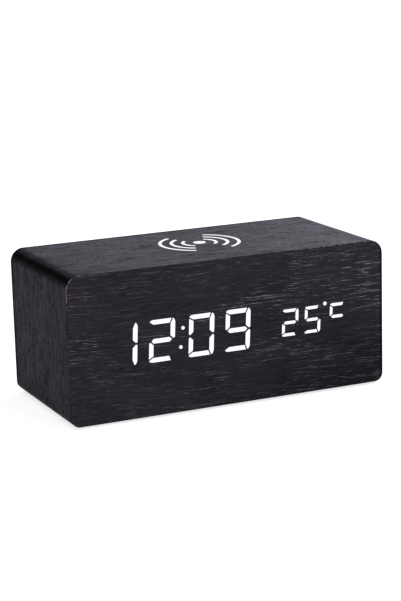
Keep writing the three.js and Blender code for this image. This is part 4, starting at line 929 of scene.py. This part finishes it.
def laid(mesh, place, turn, axis):
    """The mesh turned by so many degrees about an axis, and its origin put at place."""
    mesh.transform(Matrix.Translation(place) @ Matrix.Rotation(math.radians(turn), 4, axis))
    return mesh


def rounded_edge(radius, height, bend, steps=5):
    """Points from a turned wall over a rounded edge on to a flat end."""
    angles = [math.radians(90 * i / steps) for i in range(steps + 1)]
    return [(radius - bend + bend * math.cos(a), height - bend + bend * math.sin(a)) for a in angles]


def button_mesh(name):
    """A lip behind the rear board, and a cap through it with a rounded edge and a dish."""
    low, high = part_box(name)
    length = high.y - low.y
    lip = (high.x - low.x) / 2
    cap = lip - BUTTON_LIP
    shares = [1 - i / DISH_STEPS for i in range(1, DISH_STEPS + 1)]
    dish = [((cap - BUTTON_EDGE) * share, length - BUTTON_DISH * (1 - share ** 2)) for share in shares]
    wall = [(0.0, 0.0), (lip, 0.0), (lip, LIP_DEPTH), (cap, LIP_DEPTH)]
    mesh = turned(name, [*wall, *rounded_edge(cap, length, BUTTON_EDGE), *dish])
    middle = middle_of(name)
    return laid(mesh, (middle.x, low.y, middle.z), -90, "X")


button_plastic = moulded_plastic("button_plastic", (0.026, 0.026, 0.028), (0.017, 0.017, 0.018), 0.4, 1800.0)
for name in BUTTONS:
    button = f"{name}_button"
    place_piece(f"{name}_cap", button_mesh(button), button_plastic, button, "black_plastic", button)
dress(black_plastic, "control_bracket", "alarm_buzzer", *(f"{name}_plunger" for name in BUTTONS))
dress(green_board, "control_board")
dress(chip_resin, "temperature_sensor", *(f"{name}_switch" for name in BUTTONS))
dress(steel, "sound_sensor")


# Control marks: a ring, an upward and a downward triangle printed white over the three buttons.
# They are plain signs that say set, more and less.
SIGN_RISE = 8.6 * MM
SIGN_SIZE = 1.7 * MM
SIGN_STROKE = 0.5 * MM
RING_STEPS = 32
SPOT_STEPS = 16


def sign_flats():
    """The three signs as flat faces in X and Z."""
    flats = []
    for name in BUTTONS:
        middle = middle_of(f"{name}_button")
        x, z = middle.x, middle.z + SIGN_RISE
        if name == "mode":
            inner, outer = (circle(r, RING_STEPS, x, z) for r in (SIGN_SIZE - SIGN_STROKE, SIGN_SIZE))
            flats += strip([*inner, inner[0]], [*outer, outer[0]])
            flats.append(circle(SIGN_STROKE, SPOT_STEPS, x, z))
        else:
            way = 1 if name == "up" else -1
            angles = [math.radians(degrees) for degrees in (90, 210, 330)]
            flats.append([(x + SIGN_SIZE * math.cos(a), z + way * SIGN_SIZE * math.sin(a)) for a in angles])
    return flats


def on_rear(x, z, height):
    """A point of a sign at a height over the rear film."""
    return x, rear_high.y + height, z


control_marks = printed_mesh("control_marks", sign_flats(), on_rear)
place_piece("control_marks", control_marks, ink, "case", "white_plastic")


# Power socket: a pressed steel shell with a black tongue and gold contacts, at the bottom of a pocket
# in the rear board that takes the plug. It is soldered to the control board.
SOCKET_WALL = 0.35 * MM
SOCKET_LIP = 0.14 * MM
SOCKET_FLOOR = 1.2 * MM
SOCKET_STEPS = 10
TONGUE = 0.7 * MM
TONGUE_EDGE = 0.12 * MM
TONGUE_SIDE = 1.4 * MM
TONGUE_SINK = 0.7 * MM
CONTACTS = 6
STRIP_HALF = 0.18 * MM
STRIP_RISE = 0.03 * MM
STRIP_EDGE = 0.02 * MM
STRIP_SINK = 0.2 * MM
STRIP_SHARE = 0.7
SPREAD_SHARE = 1.7
TURN_SEED = 7
socket_low, socket_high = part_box("power_socket")
socket_middle = middle_of("power_socket")


def block(name, low, high, edge):
    """A block between two corners with its edges rounded."""
    low, high = Vector(low), Vector(high)
    shape = bmesh.new()
    bmesh.ops.create_cube(shape, size=1.0, matrix=Matrix.LocRotScale((low + high) / 2, None, high - low))
    bmesh.ops.bevel(shape, geom=shape.edges[:], offset=edge, segments=2, profile=0.5, affect="EDGES")
    mesh = bpy.data.meshes.new(name)
    shape.to_mesh(mesh)
    shape.free()
    return smoothed(mesh, 50.0)


def repeated(name, template, spots, material, turn=(0.0, 0.0, 0.0)):
    """Copies of a template mesh on the spots, each turned by a share of turn, made by Geometry Nodes."""
    tree = bpy.data.node_groups.new(name, "GeometryNodeTree")
    sockets = {}
    for label, kind in (("Spots", "Geometry"), ("Template", "Object"), ("Greatest Turn", "Vector"),
                        ("Finish", "Material")):
        made = tree.interface.new_socket(label, in_out="INPUT", socket_type="NodeSocket" + kind)
        sockets[label] = made.identifier
    tree.interface.new_socket("Copies", in_out="OUTPUT", socket_type="NodeSocketGeometry")
    given = tree.nodes.new("NodeGroupInput")
    points = tree.nodes.new("GeometryNodeMeshToPoints")
    source = tree.nodes.new("GeometryNodeObjectInfo")
    chance = tree.nodes.new("FunctionNodeRandomValue")
    chance.data_type = "FLOAT_VECTOR"
    chance.inputs[0].default_value = (0.0, 0.0, 0.0)
    chance.inputs["Seed"].default_value = TURN_SEED
    copies = tree.nodes.new("GeometryNodeInstanceOnPoints")
    real = tree.nodes.new("GeometryNodeRealizeInstances")
    painted = tree.nodes.new("GeometryNodeSetMaterial")
    result = tree.nodes.new("NodeGroupOutput")
    links = (
        (given, "Spots", points, "Mesh"),
        (given, "Template", source, "Object"),
        (given, "Greatest Turn", chance, 1),
        (points, 0, copies, "Points"),
        (source, "Geometry", copies, "Instance"),
        (chance, 0, copies, "Rotation"),
        (copies, 0, real, 0),
        (real, 0, painted, "Geometry"),
        (given, "Finish", painted, "Material"),
        (painted, 0, result, 0),
    )
    for start, output, end, entry in links:
        tree.links.new(start.outputs[output], end.inputs[entry])
    pattern = linked(f"{name}_template", template)
    spot_mesh = bpy.data.meshes.new(f"{name}_spots")
    spot_mesh.from_pydata(spots, [], [])
    holder = linked(f"{name}_spots", spot_mesh)
    modifier = holder.modifiers.new("copies", "NODES")
    modifier.node_group = tree
    modifier[sockets["Template"]] = pattern
    modifier[sockets["Greatest Turn"]] = turn
    modifier[sockets["Finish"]] = material
    mesh = plain_mesh(holder)
    bpy.data.objects.remove(pattern)
    return mesh


def socket_shell():
    """The outer wall from its foot up, over a softened mouth and down inside to the floor."""
    size = socket_high - socket_low
    mouth = socket_high.y
    verts, rings = [], []
    for inset, y in ((0.0, socket_low.y), (0.0, mouth - SOCKET_LIP), (SOCKET_LIP, mouth),
                     (SOCKET_WALL - SOCKET_LIP, mouth), (SOCKET_WALL, mouth - SOCKET_LIP),
                     (SOCKET_WALL, socket_low.y + SOCKET_FLOOR)):
        outline = rounded_box(size.x, size.z, size.z / 2, size.z / 2, inset, SOCKET_STEPS)
        rings.append(add_ring(verts, [(socket_middle.x + x, y, socket_middle.z + z) for x, z in outline]))
    return smoothed(outward_mesh("socket_shell", verts, tube(rings)), 40.0)


tongue_root = socket_low.y + SOCKET_FLOOR
tongue_end = socket_high.y - TONGUE_SINK
tongue_half = (socket_high.x - socket_low.x) / 2 - TONGUE_SIDE
tongue = block("socket_tongue",
               (socket_middle.x - tongue_half, tongue_root, socket_middle.z - TONGUE / 2),
               (socket_middle.x + tongue_half, tongue_end, socket_middle.z + TONGUE / 2), TONGUE_EDGE)
strip_length = STRIP_SHARE * (tongue_end - tongue_root)
strip_corners = (-STRIP_HALF, -strip_length, -STRIP_RISE), (STRIP_HALF, 0.0, STRIP_RISE)
contact_strip = block("socket_contact", *strip_corners, STRIP_EDGE)
strip_pitch = SPREAD_SHARE * tongue_half / CONTACTS
strip_spots = [(socket_middle.x + (i - (CONTACTS - 1) / 2) * strip_pitch, tongue_end - STRIP_SINK,
                socket_middle.z + side * TONGUE / 2)
               for i in range(CONTACTS) for side in (-1, 1)]
gold = bright_metal("gold_contact", (0.75, 0.52, 0.20), (0.58, 0.38, 0.13), 0.3)
contact_strips = repeated("socket_contacts", contact_strip, strip_spots, gold)
place_piece("socket_shell", socket_shell(), steel, "case", "bright_steel", "power_socket")
place_piece("socket_tongue", tongue, black_plastic, "case", "black_plastic")
place_piece("socket_contacts", contact_strips, gold, "case", "bright_steel")


# Rear screws: four black countersunk screws with cross recesses, driven through the rear board
# into the battens, flush with the film.
HEAD_DEPTH = 1.6 * MM
HEAD_RIM = 0.2 * MM
HEAD_EDGE = 0.12 * MM
SHANK = 1.4 * MM
TIP = 0.42 * MM
TIP_LENGTH = 2.8 * MM
RECESS_WIDTH = 0.8 * MM
RECESS_REACH = 1.75 * MM
RECESS_DEPTH = 1.1 * MM
RECESS_TAPER = 0.2
RECESS_ARMS = 4
# Each screw stops at a turn of its own, up to this one.
SCREW_TURN = (0.0, 1.5, 0.0)
screw_names = four_names("rear_screw", ("lower", "upper"))


def recess_plug():
    """A cross-shaped plug along Y that narrows inward and is of full size at the origin."""
    half = RECESS_WIDTH / 2
    verts, rings = [], []
    for y, share in ((-RECESS_DEPTH, 1 - RECESS_TAPER), (RECESS_DEPTH, 1 + RECESS_TAPER)):
        arm = [(RECESS_REACH, -half), (RECESS_REACH, half), (half, half)]
        outline = []
        for _ in range(RECESS_ARMS):
            outline += arm
            arm = [(-z, x) for x, z in arm]
        rings.append(add_ring(verts, [(share * x, y, share * z) for x, z in outline]))
    return outward_mesh("recess", verts, tube(rings))


def screw_mesh():
    """A screw that stands along Y with the middle of its head's face at the origin."""
    low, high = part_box(screw_names[0])
    head, length = (high.x - low.x) / 2, high.y - low.y
    shank = [(0.0, -length), (TIP, -length), (SHANK, TIP_LENGTH - length), (SHANK, -HEAD_DEPTH)]
    rim = [(head, -HEAD_RIM), (head - HEAD_EDGE / 6, -HEAD_EDGE / 2), (head - HEAD_EDGE, 0.0), (0.0, 0.0)]
    mesh = laid(turned("rear_screw", [*shank, *rim]), (0.0, 0.0, 0.0), -90, "X")
    plug = linked("recess", recess_plug())
    mesh = settled(mesh, "BOOLEAN", object=plug, operation="DIFFERENCE", solver="EXACT")
    bpy.data.objects.remove(plug)
    return smoothed(mesh, 30.0)


black_screw = bright_metal("blackened_steel", (0.060, 0.060, 0.064), (0.030, 0.030, 0.032), 0.42)
screw_spots = [((low.x + high.x) / 2, high.y, (low.z + high.z) / 2) for low, high in map(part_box, screw_names)]
rear_screws = smoothed(repeated("rear_screws", screw_mesh(), screw_spots, black_screw, SCREW_TURN), 30.0)
place_piece("rear_screws", rear_screws, black_screw, "case", "black_screw", *screw_names)


# Battery bay: a moulded black box let into the underside, with sprung steel contacts at both ends.
# Three slim cells lie side by side in it, each turned the other way from the one beside it.
CELLS = 3
CELL_STEPS = 40
CELL_EDGE = 0.6 * MM
SOFT_SHARE = 0.3
CELL_HOLLOW = 0.15 * MM
CELL_GROOVE = 0.2 * MM
GROOVE_LIP = 0.02 * MM
GROOVE_SHARES = (0.7, 0.76)
CELL_NUB = 1.9 * MM
NUB_LENGTH = 1.0 * MM
NUB_EDGE = 0.25 * MM
JACKET_LENGTH = 44.5 * MM
SLEEVE_FROM = 0.6 * MM
SLEEVE_TO = 42.8 * MM
SLEEVE_BLUR = 0.1 * MM
# The colours of the sleeve between its bare ends, and the share of the length at which each starts.
TIN = (0.60, 0.61, 0.62)
JACKET_BANDS = ((0.0, TIN), (0.016, (0.030, 0.105, 0.055)), (0.74, (0.55, 0.56, 0.56)),
                (0.76, (0.075, 0.080, 0.085)), (0.962, TIN))


def cell_jacket():
    """A plain sleeve in two colours between bare steel ends, set out along the cell's length."""
    finish = Finish("cell_jacket")
    along = finish.node("SeparateXYZ", {0: finish.node("UVMap").outputs[0]}).outputs[1]
    bands = finish.node("ValToRGB", {0: finish.ranged(along, 0.0, JACKET_LENGTH)})
    bands.color_ramp.interpolation = "CONSTANT"
    stops = bands.color_ramp.elements
    while len(stops) < len(JACKET_BANDS):
        stops.new(0.5)
    for stop, (spot, colour) in zip(stops, JACKET_BANDS):
        stop.position = spot
        stop.color = (*colour, 1.0)
    scuff = finish.noise(finish.place((200.0, 900.0, 900.0)), detail=3.0)
    finish.set("Metallic", finish.sum(finish.ranged(along, SLEEVE_FROM, SLEEVE_FROM + SLEEVE_BLUR, 1.0, 0.0),
                                      finish.ranged(along, SLEEVE_TO, SLEEVE_TO + SLEEVE_BLUR)))
    finish.set("Roughness", finish.ranged(scuff, 0.3, 0.7, 0.24, 0.40))
    return finish.coated(bands.outputs[0], scuff, distance=0.02 * MM, strength=0.25)


def lower_edge(radius, bend):
    """Points from a turned shape's flat foot over its softened edge to its wall."""
    return [(radius - bend, 0.0), (radius - SOFT_SHARE * bend, SOFT_SHARE * bend), (radius, bend)]


def cell_mesh(name, length, radius):
    """A cell along Z from its hollow flat end to the nub on its other end, which stands in a groove."""
    body = length - NUB_LENGTH
    inner, outer = (share * radius for share in GROOVE_SHARES)
    flat_end = [(0.0, CELL_HOLLOW), (inner, CELL_HOLLOW), (outer, 0.0), *lower_edge(radius, CELL_EDGE)]
    bottom = body - CELL_GROOVE
    groove = [(outer, body - GROOVE_LIP), (inner, bottom), (CELL_NUB + CELL_GROOVE, bottom)]
    nub = [(CELL_NUB, body), *rounded_edge(CELL_NUB, length, NUB_EDGE), (0.0, length)]
    return turned(name, [*flat_end, *rounded_edge(radius, body, CELL_EDGE), *groove, *nub], CELL_STEPS)


jacket = cell_jacket()
cell_middles = [middle_of(f"battery_{i + 1}") for i in range(CELLS)]
for i, middle in enumerate(cell_middles):
    low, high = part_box(f"battery_{i + 1}")
    start, turn = (low.x, 90) if i % 2 == 0 else (high.x, -90)
    cell = cell_mesh(f"cell_{i + 1}", high.x - low.x, (high.z - low.z) / 2)
    cell = laid(cell, (start, middle.y, middle.z), turn, "Y")
    place_piece(f"cell_{i + 1}", cell, jacket, "case", "cell_jacket", f"battery_{i + 1}")

CONTACT = 0.4 * MM
CONTACT_EDGE = 0.12 * MM
PLATE_HALF = 3.6 * MM
TAB_HALF = 1.2 * MM
SPRING_RADIUS = 2.6 * MM
SPRING_WIRE = 0.35 * MM
SPRING_TURNS = 3
SPRING_STEPS = 32
SPRING_FLAT = 0.08


def spring_mesh(name, middle, start, end):
    """A spring along X about a cell's middle line, whose first and last windings lie flat."""
    steps = SPRING_STEPS * SPRING_TURNS
    points = []
    for i in range(steps + 1):
        angle = math.tau * i / SPRING_STEPS
        share = min(max((i / steps - SPRING_FLAT) / (1 - 2 * SPRING_FLAT), 0.0), 1.0)
        points.append((start + (end - start) * share, middle.y + SPRING_RADIUS * math.cos(angle),
                       middle.z + SPRING_RADIUS * math.sin(angle)))
    return round_wire(name, points, SPRING_WIRE)


def joined(name, meshes):
    """Several meshes as one."""
    shape = bmesh.new()
    for mesh in meshes:
        shape.from_mesh(mesh)
    whole = bpy.data.meshes.new(name)
    shape.to_mesh(whole)
    shape.free()
    return whole


def contact_mesh(name):
    """A contact plate with its solder tab, and a spring where it meets the flat end of a cell."""
    low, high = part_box(name)
    at_left = low.x + high.x < 0
    near, far = (low.x, low.x + CONTACT) if at_left else (high.x - CONTACT, high.x)
    reached = {i: middle for i, middle in enumerate(cell_middles) if low.y < middle.y < high.y}
    first = next(iter(reached.values()))
    top = first.z + PLATE_HALF
    meshes = [block(name, (near, low.y, first.z - PLATE_HALF), (far, high.y, top), CONTACT_EDGE)]
    if high.z > top + PLATE_HALF / 2:
        tab_corners = (near, first.y - TAB_HALF, top), (far, first.y + TAB_HALF, high.z)
        meshes.append(block(name, *tab_corners, CONTACT_EDGE))
    for i, middle in reached.items():
        if (i % 2 == 0) == at_left:
            start = far + SPRING_WIRE if at_left else near - SPRING_WIRE
            end = high.x - SPRING_WIRE if at_left else low.x + SPRING_WIRE
            meshes.append(spring_mesh(f"{name}_spring", middle, start, end))
    return joined(name, meshes)


BAY_EDGE = 0.2 * MM


def softened_copy(name, edge):
    """A copy of a CAD node's mesh with its edges rounded."""
    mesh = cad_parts[name].data.copy()
    shape = bmesh.new()
    shape.from_mesh(mesh)
    bmesh.ops.remove_doubles(shape, verts=shape.verts[:], dist=SAME_LEVEL)
    bmesh.ops.dissolve_limit(shape, angle_limit=math.radians(1), verts=shape.verts[:], edges=shape.edges[:])
    shape.to_mesh(mesh)
    shape.free()
    least = math.radians(40)
    mesh = settled(mesh, "BEVEL", width=edge, segments=2, angle_limit=least, miter_outer="MITER_ARC")
    return smoothed(mesh, 50.0)


for name in ("negative_contact", "link_contact_right", "link_contact_left", "positive_contact"):
    place_piece(f"{name}_plate", contact_mesh(name), steel, "case", "bright_steel", name)
bay = softened_copy("battery_box", BAY_EDGE)
place_piece("bay", bay, black_plastic, "case", "black_plastic", "battery_box")
red_insulation = moulded_plastic("red_insulation", (0.36, 0.022, 0.016), (0.27, 0.014, 0.011), 0.45)
black_insulation = moulded_plastic("black_insulation", (0.014, 0.014, 0.015), (0.008, 0.008, 0.009), 0.45)
dress(red_insulation, "battery_lead_positive")
dress(black_insulation, "battery_lead_negative")


# Battery door: a moulded lid that hooks in by two lugs at one end and snaps shut at the other.
# A tongue cut into its free end bends under a finger, which pulls at three grooves.
DOOR_EDGE = 0.22 * MM
door = softened_copy("battery_door", DOOR_EDGE)
door_plastic = moulded_plastic("door_plastic", (0.018, 0.018, 0.019), (0.012, 0.012, 0.013), 0.55, 900.0)
place_piece("door", door, door_plastic, "battery_door", "black_plastic", "battery_door")


# Feet: four round pads of moulded black rubber with a slightly hollow sole.
# They are stuck to the underside near its corners.
FOOT_EDGE = 0.3 * MM
FOOT_STEPS = 40
SOLE_HOLLOW = 0.1 * MM
SOLE_RIM = (1.2 * MM, 0.9 * MM)
foot_names = four_names("foot", ("front", "rear"))


def foot_mesh():
    """A foot that stands along Z with the middle of its sole at the origin."""
    low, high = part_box(foot_names[0])
    radius, height = (high.x - low.x) / 2, high.z - low.z
    sole = [(0.0, SOLE_HOLLOW), (radius - SOLE_RIM[0], SOLE_HOLLOW), (radius - SOLE_RIM[1], 0.0)]
    edge = lower_edge(radius, FOOT_EDGE)
    return turned("foot", [*sole, *edge, (radius, height), (0.0, height)], FOOT_STEPS)


foot_rubber = moulded_plastic("foot_rubber", (0.020, 0.020, 0.021), (0.013, 0.013, 0.014), 0.85, 1200.0)
foot_spots = [((low.x + high.x) / 2, (low.y + high.y) / 2, low.z) for low, high in map(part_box, foot_names)]
feet = smoothed(repeated("feet", foot_mesh(), foot_spots, foot_rubber), 40.0)
place_piece("feet", feet, foot_rubber, "case", "foot_rubber", *foot_names)


# Studio: a pale floor that runs out past the view, a soft sky that is white near the floor and bright
# at the upper right in front, and four soft lamps: two low behind at the right, one overhead and
# one beside the camera. The camera stands where the photograph was taken.
FLOOR_REACH = 12.0
FLOOR_GLOW = 0.70
BRIGHT_SIDE = (0.45, -0.55, 0.70)
VIOLET_LIGHT = (0.88, 0.85, 1.0)
floor_mesh = bpy.data.meshes.new("floor")
floor_corners = [(x * FLOOR_REACH, y * FLOOR_REACH, 0.0) for x, y in ((-1, -1), (1, -1), (1, 1), (-1, 1))]
floor_mesh.from_pydata(floor_corners, [], [(0, 1, 2, 3)])
floor = linked("floor", floor_mesh)


def studio_floor():
    """A floor that looks white to the camera and in reflections, and still takes shadows."""
    finish = Finish("studio_floor", Roughness=0.9, Specular_IOR_Level=0.0, Base_Color=(0.45, 0.45, 0.46),
                    Emission_Color=WHITE)
    rays = finish.node("LightPath").outputs
    seen = finish.sum(rays["Is Camera Ray"], rays["Is Glossy Ray"], rays["Is Transmission Ray"])
    finish.set("Emission Strength", finish.ranged(seen, 0.0, 1.0, 0.0, FLOOR_GLOW))
    return finish.material


floor_mesh.materials.append(studio_floor())

world = bpy.data.worlds.new("studio")
bpy.context.scene.world = world
world.use_nodes = True
sky = Patterns(world.node_tree)
way = sky.node("TexCoord").outputs["Generated"]
rise = sky.node("SeparateXYZ", {0: way}).outputs[2]
bright_side = sky.node("VectorMath", {0: way, 1: BRIGHT_SIDE}, operation="DOT_PRODUCT").outputs["Value"]
upper = sky.ranged(bright_side, -0.2, 0.95, 0.05, 1.0)
low_sky = sky.ranged(rise, 0.22, 0.46, 1.0, 0.0)
backing = world.node_tree.nodes["Background"].inputs
sky.feed(backing["Strength"], sky.node("Mix", {0: low_sky, 2: upper, 3: 1.0}).outputs[0])
sky.feed(backing["Color"], WHITE)


def facing(place, target):
    """How a lamp or a camera stands at a place, level, to face a target."""
    return Matrix.Translation(place) @ (target - place).to_track_quat("-Z", "Y").to_matrix().to_4x4()


def soft_lamp(name, place, size, watts, colour=WHITE):
    """A soft lamp that faces the clock and isn't seen itself."""
    light = bpy.data.lights.new(name, "AREA")
    light.shape = "RECTANGLE"
    light.size, light.size_y = size
    light.energy = watts
    light.color = colour
    lamp = linked(name, light)
    lamp.matrix_world = facing(Vector(place), Vector((0.0, 0.0, case_middle)))
    lamp.visible_camera = False


soft_lamp("rear_lamp", place=(1.15, 1.95, 0.55), size=(1.6, 0.7), watts=6.6, colour=VIOLET_LIGHT)
soft_lamp("side_lamp", place=(1.6, 1.6, 0.50), size=(1.0, 0.6), watts=18.0, colour=VIOLET_LIGHT)
soft_lamp("overhead_lamp", place=(0.55, 0.25, 0.70), size=(0.6, 0.6), watts=3.6)
soft_lamp("front_lamp", place=(-0.24, -0.36, 0.24), size=(0.3, 0.3), watts=1.2)

AZIMUTH = math.radians(-24.39)
ELEVATION = math.radians(13.065)
LEVEL_TURN = math.radians(-1.591)
DISTANCE = 812.27 * MM
TARGET = Vector((1.512 * MM, 0.0, 40.05 * MM))
LENS = 108.6
SENSOR = 36.0
back = Vector((math.sin(AZIMUTH) * math.cos(ELEVATION), -math.cos(AZIMUTH) * math.cos(ELEVATION),
               math.sin(ELEVATION)))
camera_data = bpy.data.cameras.new("camera")
camera_data.lens = LENS
camera_data.sensor_width = SENSOR
camera = linked("camera", camera_data)
camera.matrix_world = facing(TARGET + back * DISTANCE, TARGET) @ Matrix.Rotation(LEVEL_TURN, 4, "Z")
bpy.context.scene.camera = camera
bpy.context.scene.view_settings.view_transform = "Standard"
